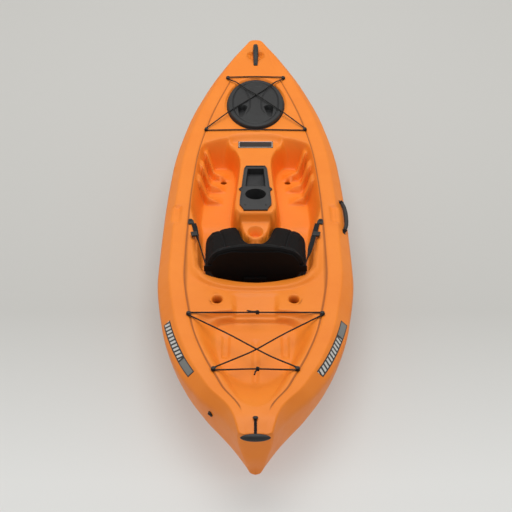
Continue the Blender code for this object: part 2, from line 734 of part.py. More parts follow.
def turned(name, profile, frame, target=None, sides=16):
    """A turned piece: its profile as (radius, height), down the outer side, on the frame's Z axis."""
    mesh = bpy.data.meshes.new(name)
    count = len(profile)
    closed = profile[0][0] > 0 and profile[-1][0] > 0
    edges = [(i, i + 1) for i in range(count - 1)] + ([(count - 1, 0)] if closed else [])
    mesh.from_pydata([(radius, 0, height) for radius, height in profile], edges, [])
    obj = link(bpy.data.objects.new(name, mesh), target)
    obj.matrix_world = frame
    spin = obj.modifiers.new("turn", "SCREW")
    spin.steps = spin.render_steps = sides
    spin.use_merge_vertices = True
    spin.merge_threshold = 0.00001
    return obj


def loft(name, rings, frame=None, target=None, closed=False):
    """A skin through rings of equally many points. It is capped at its ends, or closed on itself."""
    bm = bmesh.new()
    made = [[bm.verts.new(point) for point in ring] for ring in rings]
    pairs = list(zip(made, made[1:])) + ([(made[-1], made[0])] if closed else [])
    for ring, following in pairs:
        for j, vert in enumerate(ring):
            k = (j + 1) % len(ring)
            bm.faces.new((vert, ring[k], following[k], following[j]))
    if not closed:
        bm.faces.new(made[0])
        bm.faces.new(made[-1])
    obj = mesh_object(name, bm, target)
    if frame is not None:
        obj.matrix_world = frame
    return obj


def oval_loft(name, profile, target=None, closed=False, semi=HATCH_MOUTH, centre=(0, 0)):
    """Ovals in the hatch's frame: each point of the profile is (distance outside the oval, height)."""
    rings = []
    for out, height in profile:
        half_x, half_y = semi[0] + out, semi[1] + out
        turn = [2 * math.pi * i / HATCH_SIDES for i in range(HATCH_SIDES)]
        rings.append([
            (centre[0] + half_x * math.cos(t), centre[1] + half_y * math.sin(t), height) for t in turn
        ])
    return loft(name, rings, hatch_frame(), target, closed)


def plate(name, outline, thickness, frame, target=None, bevel=0.0):
    """A flat piece from an outline in the frame's XY plane, rising from it by its thickness."""
    bm = bmesh.new()
    face = bm.faces.new([bm.verts.new((x, y, 0)) for x, y in outline])
    raised = bmesh.ops.extrude_face_region(bm, geom=[face])["geom"]
    tops = [v for v in raised if isinstance(v, bmesh.types.BMVert)]
    bmesh.ops.translate(bm, verts=tops, vec=(0, 0, thickness))
    obj = mesh_object(name, bm, target)
    obj.matrix_world = frame
    if bevel:
        soften(obj, bevel)
    return obj


def block(name, size, frame, centre=(0, 0, 0), target=None, bevel=0.0):
    """A box of a size, centred on a point of the frame."""
    bm = bmesh.new()
    bmesh.ops.create_cube(bm, size=1.0)
    bm.transform(Matrix.Translation(Vector(centre)) @ Matrix.Diagonal((*size, 1)))
    obj = mesh_object(name, bm, target)
    obj.matrix_world = frame
    if bevel:
        soften(obj, bevel)
    return obj


def soften(obj, width):
    modifier = obj.modifiers.new("soften", "BEVEL")
    modifier.width = width
    modifier.segments = 1
    modifier.limit_method = "ANGLE"


def offset(frame, x=0.0, y=0.0, z=0.0):
    return frame @ Matrix.Translation((x, y, z))


def finish(obj, slot):
    """Gives a piece its material, and smooth shading between its sharp edges."""
    material = bpy.data.materials.get(slot)
    if material is None:
        colour, roughness, metallic = FINISHES[slot]
        material = bpy.data.materials.new(slot)
        material.use_nodes = True
        shader = material.node_tree.nodes["Principled BSDF"]
        shader.inputs["Base Color"].default_value = (*colour, 1)
        shader.inputs["Roughness"].default_value = roughness
        shader.inputs["Metallic"].default_value = metallic
    obj.data.materials.append(material)
    return obj


def hole(name, frame, depth=SHANK_LENGTH, radius=SHANK_R, seat=0.0, sides=SCREW_SIDES):
    """A hole down the frame's Z axis with its clearance, and round it a flat seat of a radius."""
    bore = radius + GAP
    above = 0.012
    if seat:
        profile = [(0, above), (seat, above), (seat, 0), (bore, 0), (bore, -depth), (0, -depth)]
    else:
        profile = [(0, above), (bore, above), (bore, -depth), (0, -depth)]
    return as_cutter(turned(f"{name}_hole", profile, frame, cutters, sides))


def screw(name, frame, length=SHANK_LENGTH):
    """A pan-head screw whose head sits just above the frame's plane."""
    head = GAP + SCREW_HEAD_T
    profile = [
        (0, head), (SCREW_HEAD_R, head - 0.0008), (SCREW_HEAD_R, GAP), (SHANK_R, GAP), (SHANK_R, -length),
        (0, -length - 0.001),
    ]
    return finish(turned(name, profile, frame, sides=SCREW_SIDES), "steel")


def rim_screw_frames():
    """The places of the rim's screws, on top of its flange."""
    frames = []
    for i in range(RIM_SCREWS):
        turn = 2 * math.pi * (i + 0.5) / RIM_SCREWS
        x = (HATCH_MOUTH[0] + RIM_SCREW_OUT) * math.cos(turn)
        y = (HATCH_MOUTH[1] + RIM_SCREW_OUT) * math.sin(turn)
        frames.append(offset(hatch_frame(), x, y, GAP + RIM_FLANGE_T))
    return frames


def hatch():
    """The hatch's rim, screws, seal and lid."""
    flange, top = GAP + RIM_FLANGE_T, GAP + RIM_HEIGHT
    rim = oval_loft("hatch_rim", [
        (RIM_IN, GAP), (RIM_IN, top), (RIM_COLLAR_OUT, top), (RIM_COLLAR_OUT, flange),
        (RIM_OUT, flange), (RIM_OUT, GAP),
    ], closed=True)
    for i, frame in enumerate(rim_screw_frames()):
        cut(rim, hole(f"hatch_rim_screw_{i + 1}", frame, depth=2 * SHANK_LENGTH))
        screw(f"hatch_rim_screw_{i + 1}", frame, SHANK_LENGTH)
    finish(rim, "black_plastic")
    inside, outside = RIM_IN + SEAL_MARGIN, RIM_COLLAR_OUT - SEAL_MARGIN
    seal_low, seal_top = top + GAP, top + GAP + SEAL_T
    seal = oval_loft("hatch_gasket", [
        (inside, seal_low), (inside, seal_top), (outside, seal_top), (outside, seal_low),
    ], closed=True)
    finish(seal, "rubber")
    under = seal_top + GAP
    lid_top = under + LID_T
    skirt_low = flange + LID_SKIRT_LIFT
    skirt_in = LID_OUT - LID_SKIRT_T
    core = -HATCH_MOUTH[0] / 2
    lid = oval_loft("hatch_lid", [
        (core, under), (skirt_in - 0.002, under), (skirt_in, under - 0.002),
        (skirt_in, skirt_low), (LID_OUT, skirt_low), (LID_OUT, lid_top - LID_EDGE),
        (LID_OUT - LID_EDGE * 0.3, lid_top - LID_EDGE * 0.3), (LID_OUT - LID_EDGE, lid_top),
        (core, lid_top),
    ])
    for side in (1, -1):
        pull = oval_loft(
            f"finger_pull_{side}", [(0, lid_top - FINGER_PULL_DEPTH), (0.003, lid_top + 0.005)], cutters,
            semi=FINGER_PULL_R, centre=(FINGER_PULL[0] * side, FINGER_PULL[1]),
        )
        cut(lid, as_cutter(pull))
    finish(lid, "rubber")


def bow_handle_frame():
    """The bow handle's frame: on the line through its two flats, halfway along."""
    (aft, fore) = BOW_HANDLE_ENDS
    low, high = Vector((0, aft, deck_z(aft))), Vector((0, fore, deck_z(fore)))
    normal = Vector((1, 0, 0)).cross(high - low)
    return frame_at((low + high) / 2 - normal.normalized() * 2 * SEAT_SINK, normal)


def bow_handle_reach():
    return (BOW_HANDLE_ENDS[1] - BOW_HANDLE_ENDS[0]) / 2 / bow_handle_frame()[1][1]


def oval_section(y, height, half_width, half_height, sides=12):
    turn = [2 * math.pi * i / sides for i in range(sides)]
    return [(half_width * math.cos(t), y, height + half_height * math.sin(t)) for t in turn]


def bow_handle():
    """A moulded handle screwed down at its two flat ends, with finger room under its middle."""
    frame, reach = bow_handle_frame(), bow_handle_reach()
    half, rise = BOW_HANDLE_HALF, BOW_HANDLE_RISE
    foot = 0.0035
    heel = reach - BOW_HANDLE_PAD * 0.35
    stations = [
        (reach + BOW_HANDLE_PAD / 2, foot, half * 0.75, foot - 0.001),
        (reach + BOW_HANDLE_PAD * 0.3, foot, half, foot),
        (heel, foot, half, foot),
        (heel - 0.007, foot + 0.0045, half, foot + 0.0005),
        (reach * 0.70, rise * 0.58, half * 1.05, 0.0065),
        (reach * 0.38, rise * 0.90, half * 1.12, 0.0085),
    ]
    mirrored_stations = [(-y, *rest) for y, *rest in stations]
    sections = mirrored_stations + [(0, rise, half * 1.16, 0.0095)] + stations[::-1]
    handle = loft("bow_handle", [oval_section(y, z + GAP, w, h) for y, z, w, h in sections], frame)
    for i, side in enumerate((-1, 1)):
        place = offset(frame, 0, side * reach, GAP + 2 * foot - 0.0012)
        cut(handle, hole(f"bow_handle_screw_{i + 1}", place, 0.03, seat=SCREW_HEAD_R + 0.0006))
        screw(f"bow_handle_screw_{i + 1}", place, SHANK_LENGTH + 0.004)
    finish(handle, "rubber")


def side_handle_frame():
    middle = sum(SIDE_HANDLE_ENDS) / 2
    return panel_frame(edge_point, side_point, 0.5, middle, sink=2 * SEAT_SINK)


def side_handle():
    """The carrying bail on the starboard gunwale: a grip that pivots between two screwed tabs."""
    frame = side_handle_frame()
    reach = (SIDE_HANDLE_ENDS[1] - SIDE_HANDLE_ENDS[0]) / 2
    length, width, height = SIDE_TAB
    foot, foot_t = SIDE_TAB_FOOT
    for i, side in enumerate((-1, 1)):
        outline = [
            (-length / 2, 0), (length / 2 + foot, 0), (length / 2 + foot, foot_t), (length / 2, foot_t),
            (length / 2 - 0.002, height), (-length / 2 + 0.002, height),
        ]
        turn = frame @ Matrix.Translation((-side * width / 2, side * reach, GAP))
        turn = turn @ Matrix(((0, 0, side, 0), (side, 0, 0, 0), (0, 1, 0, 0), (0, 0, 0, 1)))
        tab = plate(f"side_handle_tab_{i + 1}", outline, width, turn)
        axis = offset(frame, 0, side * reach, SIDE_HANDLE_AXIS) @ Matrix.Rotation(math.pi / 2, 4, "X")
        pin = SIDE_HANDLE_PIN_R + GAP
        cut(tab, as_cutter(turned(
            "pin_hole", [(0, length), (pin, length), (pin, -length), (0, -length)], axis, cutters, 12,
        )))
        place = offset(frame, 0, side * (reach + length / 2 + foot / 2), GAP + foot_t)
        cut(tab, hole(f"side_handle_screw_{i + 1}", place, 0.02))
        screw(f"side_handle_screw_{i + 1}", place)
        finish(tab, "black_plastic")
    out, up = SIDE_HANDLE_BOW
    end = reach + length / 2
    half = [
        (end, 0.0, SIDE_HANDLE_PIN_R), (reach - length / 2 - 0.001, 0.0, SIDE_HANDLE_PIN_R),
        (reach - length / 2 - 0.002, 0.0, SIDE_HANDLE_R * 0.85), (reach * 0.80, 0.45, SIDE_HANDLE_R),
        (reach * 0.55, 0.82, SIDE_HANDLE_R), (reach * 0.28, 0.97, SIDE_HANDLE_R), (0.0, 1.0, SIDE_HANDLE_R),
    ]
    stations = [(-y, bow, r) for y, bow, r in half] + [(y, bow, r) for y, bow, r in half[-2::-1]]
    rings = []
    for y, bow, radius in stations:
        turn = [2 * math.pi * i / 10 for i in range(10)]
        rings.append([(out * bow + radius * math.cos(t), y, up * bow + radius * math.sin(t)) for t in turn])
    grip = loft("side_handle_grip", rings, offset(frame, 0, 0, SIDE_HANDLE_AXIS))
    finish(grip, "rubber")


def toggle_frame():
    """The frame of the toggle's hinge line, across the stern deck just aft of its screw."""
    y = TOGGLE_HINGE_Y
    return Matrix.Translation((0, y, deck_z(y) + GAP + TOGGLE_STRAP_T / 2))


def stern_toggle():
    """The stern's carrying toggle: a grip on a webbing strap that is screwed to the deck."""
    hinge = empty("stern_toggle_hinge", toggle_frame())
    axis = Matrix.Translation((0, *TOGGLE_AXIS)) @ Matrix.Rotation(math.pi / 2, 4, "Y")
    half, waist = TOGGLE_LENGTH / 2, TOGGLE_STRAP_W / 2 + 0.001
    profile = [
        (0, half), (TOGGLE_R * 0.45, half), (TOGGLE_R * 0.72, half * 0.80), (TOGGLE_R * 0.93, half * 0.45),
        (TOGGLE_R, half * 0.16), (TOGGLE_R, waist), (TOGGLE_WAIST_R, waist),
    ]
    profile += [(r, -h) for r, h in reversed(profile)]
    grip = turned("stern_toggle_grip", profile, axis, sides=20)
    finish(grip, "rubber")
    inner = TOGGLE_WAIST_R + GAP
    outer = inner + TOGGLE_STRAP_T
    reach = TOGGLE_STRAP_W / 2
    ring = [(inner, reach), (outer, reach), (outer, -reach), (inner, -reach)]
    loop = turned("stern_toggle_loop", ring, axis, cutters, 20)
    front = TOGGLE_EYE_Y + 0.009
    line = [(y, deck_z(y) + GAP) for y in (mix(front, STERN_END, i / 6) for i in range(7))]
    line.append((TOGGLE_AXIS[0] + inner * 0.8, TOGGLE_AXIS[1] + inner * 0.75))
    outline = line + [(y, z + TOGGLE_STRAP_T) for y, z in reversed(line)]
    side_on = Matrix(((0, 0, 1, -reach), (1, 0, 0, 0), (0, 1, 0, 0), (0, 0, 0, 1)))
    strap = plate("stern_toggle_strap", outline, TOGGLE_STRAP_W, side_on)
    cut(strap, as_cutter(loop), "UNION")
    place = toggle_screw_frame()
    waist_hole = [(0, 2 * reach), (inner, 2 * reach), (inner, -2 * reach), (0, -2 * reach)]
    cut(strap, as_cutter(turned("waist_clear", waist_hole, axis, cutters, 20)))
    cut(strap, hole("strap_screw", place))
    finish(strap, "webbing")
    low = TOGGLE_STRAP_T + 2 * GAP + SEAT_SINK + 0.0004
    top = low + TOGGLE_HEAD_T
    profile = [
        (0, top), (TOGGLE_HEAD_R * 0.5, top - 0.0004), (TOGGLE_HEAD_R, low + 0.0012), (TOGGLE_HEAD_R, low),
        (SHANK_R, low), (SHANK_R, -SHANK_LENGTH), (0, -SHANK_LENGTH - 0.001),
    ]
    finish(turned("stern_toggle_button", profile, place), "black_plastic")
    for piece in (grip, strap):
        hold(piece, hinge)


def toggle_screw_frame():
    return deck_frame(0, TOGGLE_EYE_Y)


def empty(name, frame):
    obj = link(bpy.data.objects.new(name, None))
    obj.matrix_world = frame
    return obj


def hold(piece, parent):
    """Parents a piece to an empty without moving it."""
    bpy.context.view_layer.update()
    piece.parent = parent
    piece.matrix_parent_inverse = parent.matrix_world.inverted()


def button_places():
    """Every deck button as its name and frame: bow and stern, the front pair and the rear pair."""
    places = []
    for end, pairs in (("bow", BOW_BUTTONS), ("stern", STERN_BUTTONS)):
        for i, (x, y) in enumerate(pairs):
            for j, side in enumerate((1, -1)):
                places.append((f"{end}_deck_button_{2 * i + j + 1}", deck_frame(x * side, y)))
    return places


def deck_buttons():
    for name, frame in button_places():
        base = GAP + BUTTON_BASE_T
        head = base + BUTTON_GROOVE
        profile = [
            (0, head + BUTTON_HEAD_T), (BUTTON_HEAD_R * 0.7, head + BUTTON_HEAD_T * 0.85),
            (BUTTON_HEAD_R, head), (BUTTON_POST_R, head),
            (BUTTON_POST_R, base), (BUTTON_HEAD_R, base), (BUTTON_HEAD_R, GAP), (SHANK_R, GAP),
            (SHANK_R, -SHANK_LENGTH), (0, -SHANK_LENGTH - 0.001),
        ]
        finish(turned(name, profile, frame, sides=BUTTON_SIDES), "black_plastic")


def wrap(frame, start, end, count=7):
    """Points of a cord round a button's post, between two directions in degrees."""
    reach = BUTTON_POST_R + 2 * GAP + CORD_R
    height = GAP + BUTTON_BASE_T + BUTTON_GROOVE / 2
    points = []
    for i in range(count):
        turn = math.radians(mix(start, end, i / (count - 1)))
        points.append(frame @ Vector((reach * math.cos(turn), reach * math.sin(turn), height)))
    return points


def crossed_route(buttons, fore, over, aft, under):
    """A cord round four buttons: across the front, over the crossing, across the rear, back under it."""
    (front_x, front_y), (rear_x, rear_y) = buttons
    slant = math.degrees(math.atan2(front_y - rear_y, front_x + rear_x))
    front = [deck_frame(side * front_x, front_y) for side in (1, -1)]
    rear = [deck_frame(side * rear_x, rear_y) for side in (1, -1)]
    route = wrap(front[0], slant - 90, 90) + list(fore) + wrap(front[1], 90, 270 - slant) + list(over)
    route += wrap(rear[0], 90 - slant, -90) + list(aft) + wrap(rear[1], -90, slant - 270) + list(under)
    return route


def cord(name, route):
    """A round cord as a closed tube along its route."""
    curve = bpy.data.curves.new(name, "CURVE")
    curve.dimensions = "3D"
    curve.bevel_depth = CORD_R
    curve.bevel_resolution = 2
    spline = curve.splines.new("POLY")
    spline.points.add(len(route) - 1)
    for point, place in zip(spline.points, route):
        point.co = (*place, 1)
    spline.use_cyclic_u = True
    return link(bpy.data.objects.new(name, curve))


def knot(name, centre, tail_end):
    """A knot on a cord that runs along X: a round turn with its free tail."""
    inner = CORD_R + GAP
    frame = Matrix.Translation(Vector(centre)) @ Matrix.Rotation(math.pi / 2, 4, "Y")
    profile = [
        (inner, KNOT_W / 2), (KNOT_R * 0.75, KNOT_W / 2), (KNOT_R, KNOT_W * 0.25), (KNOT_R, -KNOT_W * 0.25),
        (KNOT_R * 0.75, -KNOT_W / 2), (inner, -KNOT_W / 2),
    ]
    ball = turned(name, profile, frame, sides=12)
    start = Vector(centre) + (Vector(tail_end) - Vector(centre)).normalized() * (inner + CORD_R * 0.4)
    cut(ball, round_cutter(f"{name}_tail", CORD_R, start, tail_end, sides=8), "UNION")
    return finish(ball, "cord")


def shock_cords():
    bow = crossed_route(BOW_BUTTONS, BOW_FORE, BOW_OVER, BOW_AFT, BOW_UNDER)
    finish(cord("bow_bungee", bow), "cord")
    stern = crossed_route(STERN_BUTTONS, [], STERN_OVER, [], STERN_UNDER)
    finish(cord("stern_bungee", stern), "cord")
    for i, (x, y) in enumerate(STERN_BUTTONS):
        frames = [deck_frame(side * x, y) for side in (1, -1)]
        turn = 90 if i == 0 else -90
        middle = sum((wrap(frame, turn, turn, 2)[0] for frame in frames), Vector()) / 2
        middle.x = 0.004
        tail = middle + Vector((0, -0.008, -KNOT_TAIL) if i else (0, -0.012, -0.012))
        knot(f"stern_bungee_knot_{i + 1}", middle, tail)


def console():
    """The tray on the spine: a lipped flange, an open gear pocket with a ramped floor, and a cup well."""
    frame = spine_frame(0.0)
    outline = TRAY_OUTLINE + [(-x, y) for x, y in reversed(TRAY_OUTLINE)]
    base = offset(frame, z=GAP)
    tray = plate("console_tray", outline, TRAY_T + TRAY_LIP, base)
    inner = grown(outline, -TRAY_LIP_W)
    (half_aft, y_aft), (half_front, y_front) = TRAY_POCKET
    floor_aft = y_aft + TRAY_POCKET_RAMP
    low_z, top_z = TRAY_T - TRAY_POCKET_DEPTH, TRAY_T + TRAY_LIP

    def trough(name, wall):
        """The gear pocket: deep at its front and ramped up towards the cup."""
        stations = [
            (y_aft - wall, half_aft, 0.0), (floor_aft, mix(half_aft, half_front, 0.4), 1.0),
            (y_front + wall, half_front, 1.0),
        ]
        rings = []
        for y, half, share in stations:
            deep = mix(-0.002, low_z, share) - wall
            high = top_z + 0.01 if not wall else TRAY_T * 0.5
            half += wall
            rings.append([(half, y, high), (-half, y, high), (-half * 0.9, y, deep), (half * 0.9, y, deep)])
        return as_cutter(loft(name, rings, base, cutters))

    def well(name, wall):
        radius = TRAY_CUP_R + wall
        high = top_z + 0.01 if not wall else TRAY_T * 0.5
        low = TRAY_T - TRAY_CUP_DEPTH - wall
        profile = [(0, high), (radius, high), (radius * 0.94, low), (0, low)]
        return as_cutter(turned(name, profile, offset(base, 0, TRAY_CUP_Y), cutters, 28))

    cut(tray, trough("tray_trough_wall", TRAY_WALL), "UNION")
    cut(tray, well("tray_well_wall", TRAY_WALL), "UNION")
    cut(tray, as_cutter(plate("tray_inside", inner, 0.02, offset(base, z=TRAY_T), cutters)))
    cut(tray, trough("tray_trough", 0.0))
    cut(tray, well("tray_well", 0.0))
    for i, side in enumerate((1, -1)):
        place = offset(base, TRAY_SCREW[0] * side, TRAY_SCREW[1], TRAY_T)
        cut(tray, hole(f"console_screw_{i + 1}", place, 0.02))
        screw(f"console_screw_{i + 1}", place)
    finish(tray, "grey_plastic")
    width, length = PLATE_SIZE
    place = spine_frame(PLATE_Y)
    badge = block("console_plate", (width, length, PLATE_T), place, (0, 0, GAP + PLATE_T / 2))
    finish(badge, "black_plastic")


def cushion(name, rows, shares, half, thick, frame, crown, skip=None, seams=(), target=None):
    """A padded form on a plan grid: crowned on top, with sides drawn in between its two edges."""
    bm = bmesh.new()
    grid = {}
    for i, row in enumerate(rows):
        for j, share in enumerate(shares):
            grid[i, j] = bm.verts.new((half(row, share), row, 0))
    faces = []
    for i in range(len(rows) - 1):
        for j in range(len(shares) - 1):
            if not skip or not skip(i, j):
                faces.append(bm.faces.new((grid[i, j], grid[i, j + 1], grid[i + 1, j + 1], grid[i + 1, j])))
    bmesh.ops.delete(bm, geom=[v for v in bm.verts if not v.link_faces], context="VERTS")
    raised = bmesh.ops.extrude_face_region(bm, geom=faces)
    tops = [v for v in raised["geom"] if isinstance(v, bmesh.types.BMVert)]
    span, middle = (rows[0] - rows[-1]) / 2, (rows[0] + rows[-1]) / 2
    widest = max(abs(v.co.x) for v in tops)
    for vert in tops:
        swell = (1 - (vert.co.x / widest) ** 2) * (1 - ((vert.co.y - middle) / span) ** 2)
        vert.co.z = thick - crown + crown * max(swell, 0.0) ** 0.5
        for point in seams:
            if (Vector(point) - vert.co.xy).length < 0.004:
                vert.co.z -= PAD_SEAM_DEPTH
    sides = [e for e in bm.edges if abs(e.verts[0].co.z - e.verts[1].co.z) > thick / 2]
    made = bmesh.ops.subdivide_edges(bm, edges=sides, cuts=1, use_grid_fill=True)
    waists = [v for v in made["geom_split"] if isinstance(v, bmesh.types.BMVert)]
    bm.normal_update()
    bmesh.ops.recalc_face_normals(bm, faces=bm.faces)
    for vert in waists:
        out = Vector((vert.normal.x, vert.normal.y, 0)).normalized()
        vert.co -= out * PAD_WAIST
    obj = mesh_object(name, bm, target)
    obj.matrix_world = frame
    smooth = obj.modifiers.new("smooth", "SUBSURF")
    smooth.levels = smooth.render_levels = 1
    return obj


def back_frame():
    """The backrest's frame at its fold: Y up the back and Z out of its front, so its X runs to port."""
    lean = Vector((0, -math.sin(BACK_TILT), math.cos(BACK_TILT)))
    return frame_at((0, *BACK_HINGE), (0, math.cos(BACK_TILT), math.sin(BACK_TILT)), lean)


def seat():
    """The seat pad on the pan, and the padded backrest that folds at its foot."""
    notch, notch_y = PAD_NOTCH
    thigh_rows = [PAD_FRONT_Y, 0.036, -0.010, notch_y]
    rows = thigh_rows + [-0.110, -0.170, -0.235, -0.300, -0.350, PAD_AFT_Y]
    widest = max(half for _, half in PAD_HALF)
    marks = [widest, 0.180, PAD_SEAM_X, notch, 0.025, 0.0]
    marks += [-mark for mark in reversed(marks[:-1])]

    def half(row, mark):
        if abs(mark) <= notch:
            return mark
        share = (abs(mark) - notch) / (widest - notch)
        return math.copysign(mix(notch, along(PAD_HALF, row), share), mark)

    floor = Matrix.Translation((0, 0, SEAT_FLOOR_Z + GAP))
    seams = [(side * half(row, PAD_SEAM_X), row) for side in (1, -1) for row in thigh_rows]
    pad = cushion(
        "seat_pad", rows, marks, half, PAD_T, floor, PAD_CROWN, lambda i, j: i < 3 and 3 <= j <= 6, seams,
    )
    finish(pad, "cloth")


def backrest():
    frame = back_frame()
    hinge = empty("backrest_hinge", frame)
    rows = [0.240, 0.222, 0.190, 0.150, 0.110, 0.070, 0.035, 0.004]
    shares = [1.0, 0.86, 0.58, 0.29, 0.0, -0.29, -0.58, -0.86, -1.0]

    def half(row, share):
        return along(BACK_HALF, row) * share

    pad = cushion("backrest_pad", rows, shares, half, BACK_T, offset(frame, z=-BACK_T), BACK_CROWN)
    finish(pad, "cloth")
    low, high = rows[-1] + SHELL_MARGIN, rows[0] - SHELL_MARGIN
    foot, crown = EAR_HEIGHT[0] - 0.002, EAR_HEIGHT[1] + 0.002
    below = [low] + [h for h, _ in BACK_HALF if low < h < foot] + [foot]
    above = [crown] + [h for h, _ in BACK_HALF if crown < h < high] + [high]
    right = [(along(BACK_HALF, h) - SHELL_MARGIN, h) for h in below]
    right += [(EAR_HALF, EAR_HEIGHT[0]), (EAR_HALF, EAR_HEIGHT[1])]
    right += [(along(BACK_HALF, h) - SHELL_MARGIN, h) for h in above]
    outline = right + [(-x, y) for x, y in reversed(right)]
    shell = plate("backrest_shell", outline, SHELL_T, offset(frame, z=-BACK_T - GAP - SHELL_T))
    finish(shell, "black_plastic")
    width, tall, deep = POUCH_SIZE
    pouch = block(
        "backrest_pouch", (width, tall, deep), frame,
        (0, POUCH_HEIGHT, -BACK_T - SHELL_T - 2 * GAP - deep / 2), bevel=0.003,
    )
    finish(pouch, "cloth")
    for piece in (pad, shell, pouch):
        hold(piece, hinge)


def strap_anchor_frame(side):
    return deck_frame(STRAP_ANCHOR[0] * side, STRAP_ANCHOR[1])


def seat_straps():
    """Each side's deck stud, the clip on its post, the webbing to the backrest's ear and its buckle."""
    for number, side in (("starboard", 1), ("port", -1)):
        stud = strap_anchor_frame(side)
        base, head = GAP + BUTTON_BASE_T, GAP + BUTTON_BASE_T + CLIP_T + 2 * GAP
        profile = [
            (0, head + 0.003), (BUTTON_HEAD_R * 0.55, head + 0.0026),
            (BUTTON_HEAD_R * 0.8, head), (BUTTON_POST_R, head), (BUTTON_POST_R, base), (BUTTON_HEAD_R, base),
            (BUTTON_HEAD_R, GAP), (SHANK_R, GAP), (SHANK_R, -SHANK_LENGTH), (0, -SHANK_LENGTH - 0.001),
        ]
        finish(turned(f"strap_anchor_{number}", profile, stud, sides=BUTTON_SIDES), "black_plastic")
        back = back_frame()
        end = back @ Vector((-STRAP_END[0] * side, STRAP_END[1], -BACK_T))
        centre = stud @ Vector((0, 0, base + GAP + CLIP_T / 2))
        run = end - centre
        level = Vector((run.x, run.y, 0)).normalized()
        clip_frame = frame_at(stud @ Vector((0, 0, base + GAP)), stud.to_3x3() @ Vector((0, 0, 1)), level)
        turn = [math.pi * (1 + i / 6) for i in range(7)]
        eye = [(CLIP_EYE_R * math.cos(t), CLIP_EYE_R * math.sin(t)) for t in turn]
        neck = CLIP_LENGTH * 0.4
        outline = eye + [
            (CLIP_W / 2, neck), (CLIP_W / 2, CLIP_LENGTH), (-CLIP_W / 2, CLIP_LENGTH), (-CLIP_W / 2, neck),
        ]
        clip = plate(f"strap_clip_{number}", outline, CLIP_T, clip_frame)
        cut(clip, hole(f"clip_{number}", clip_frame, 0.01, BUTTON_POST_R))
        finish(clip, "black_plastic")
        start = clip_frame @ Vector((0, CLIP_LENGTH + GAP, CLIP_T / 2))
        strap = webbing(f"seat_strap_{number}", start, end, side)
        behind = block(f"strap_end_{number}", (0.6, 0.6, 0.2), back, (0, 0.1, -0.1 - BACK_T), cutters)
        cut(strap, as_cutter(behind))
        finish(strap, "webbing")
        buckle(f"strap_buckle_{number}", start, end)


def webbing(name, start, end, side):
    """Flat webbing between two points: level at its start, turned on edge before its end."""
    first, last = STRAP_TWIST
    steps = STRAP_TWIST_STEPS
    stations = [0.0] + [mix(first, last, i / steps) for i in range(steps + 1)] + [1.06]
    run = end - start
    along_run = run.normalized()
    flat = along_run.cross(Vector((0, 0, 1))).normalized()
    up = flat.cross(along_run)
    rings = []
    for share in stations:
        turn = math.radians(90) * min(max((share - first) / (last - first), 0.0), 1.0) * side
        wide = flat * math.cos(turn) + up * math.sin(turn)
        thin = wide.cross(along_run)
        here = start + run * share
        w, t = wide * STRAP_W / 2, thin * STRAP_T / 2
        rings.append([here + w + t, here - w + t, here - w - t, here + w - t])
    bm = bmesh.new()
    made = [[bm.verts.new(point) for point in ring] for ring in rings]
    # Both broad faces are split along the same diagonal, so the twisted webbing keeps its thickness.
    for (a, b, c, d), (a2, b2, c2, d2) in zip(made, made[1:]):
        for face in ((a, b, b2), (a, b2, a2), (c, d, c2), (d, d2, c2), (b, c, c2, b2), (d, a, a2, d2)):
            bm.faces.new(face)
    bm.faces.new(made[0])
    bm.faces.new(made[-1])
    return mesh_object(name, bm)


def buckle(name, start, end):
    """A ladder buckle round the webbing, with its slot and two rungs raised on top."""
    run = end - start
    up = run.cross(Vector((0, 0, 1))).cross(run).normalized()
    frame = frame_at(start + run * BUCKLE_SHARE, up, run)
    width, length, thick = BUCKLE_SIZE
    body = block(name, (width, length, thick), frame, bevel=0.0015)
    slot = (STRAP_W + 2 * SLOT_CLEARANCE, length * 2, STRAP_T + 2 * SLOT_CLEARANCE)
    cut(body, as_cutter(block(f"{name}_slot", slot, frame, target=cutters)))
    return finish(body, "black_plastic")


def drain_frame():
    return panel_frame(side_point, chine_point, DRAIN_SHARE, DRAIN_Y, side=-1, sink=2 * SEAT_SINK)


def drain():
    """The screwed drain plug in the port quarter, with its winged head and its seal."""
    frame = drain_frame()
    seal_top = GAP + SEAL_T
    inner = DRAIN_SHANK_R + GAP
    seal = turned("drain_plug_seal", [
        (inner, seal_top), (DRAIN_SEAL_R, seal_top), (DRAIN_SEAL_R, GAP), (inner, GAP),
    ], frame, sides=20)
    finish(seal, "rubber")
    low = seal_top + GAP
    high = low + DRAIN_HEAD_T
    reach = WALL + 0.008
    plug = turned("drain_plug", [
        (0, high), (DRAIN_HEAD_R - 0.001, high), (DRAIN_HEAD_R, high - 0.001), (DRAIN_HEAD_R, low),
        (DRAIN_SHANK_R, low), (DRAIN_SHANK_R, -reach), (0, -reach),
    ], frame, sides=20)
    wing = block("drain_wing", (0.004, DRAIN_HEAD_R * 1.6, 0.004), frame, (0, 0, high + 0.001), cutters)
    cut(plug, as_cutter(wing), "UNION")
    finish(plug, "black_plastic")


def foam_block(name, low_y, high_y, half):
    """A buoyancy block that fills the hollow hull between two stations, clear of its walls."""
    clear = WALL + GAP
    foam = block(name, (2 * half, high_y - low_y, 0.5), Matrix(), (0, (low_y + high_y) / 2, 0.2))
    cut(foam, as_cutter(hull_form(f"{name}_hollow", clear, *HOLLOW_REACH, cutters)), "INTERSECT")
    for pocket in (tankwell(clear), tankwell_ramp(clear), hatch_recess(clear)):
        cut(foam, pocket)
    return finish(foam, "foam")


def foam():
    stern, bow = (mix(STERN_END, BOW_END, reach) for reach in HOLLOW_REACH)
    near, far, half = STERN_FOAM
    foam_block("stern_foam", stern + near, stern + far, half)
    near, far, half = BOW_FOAM
    foam_block("bow_foam", bow - far, bow - near, half)


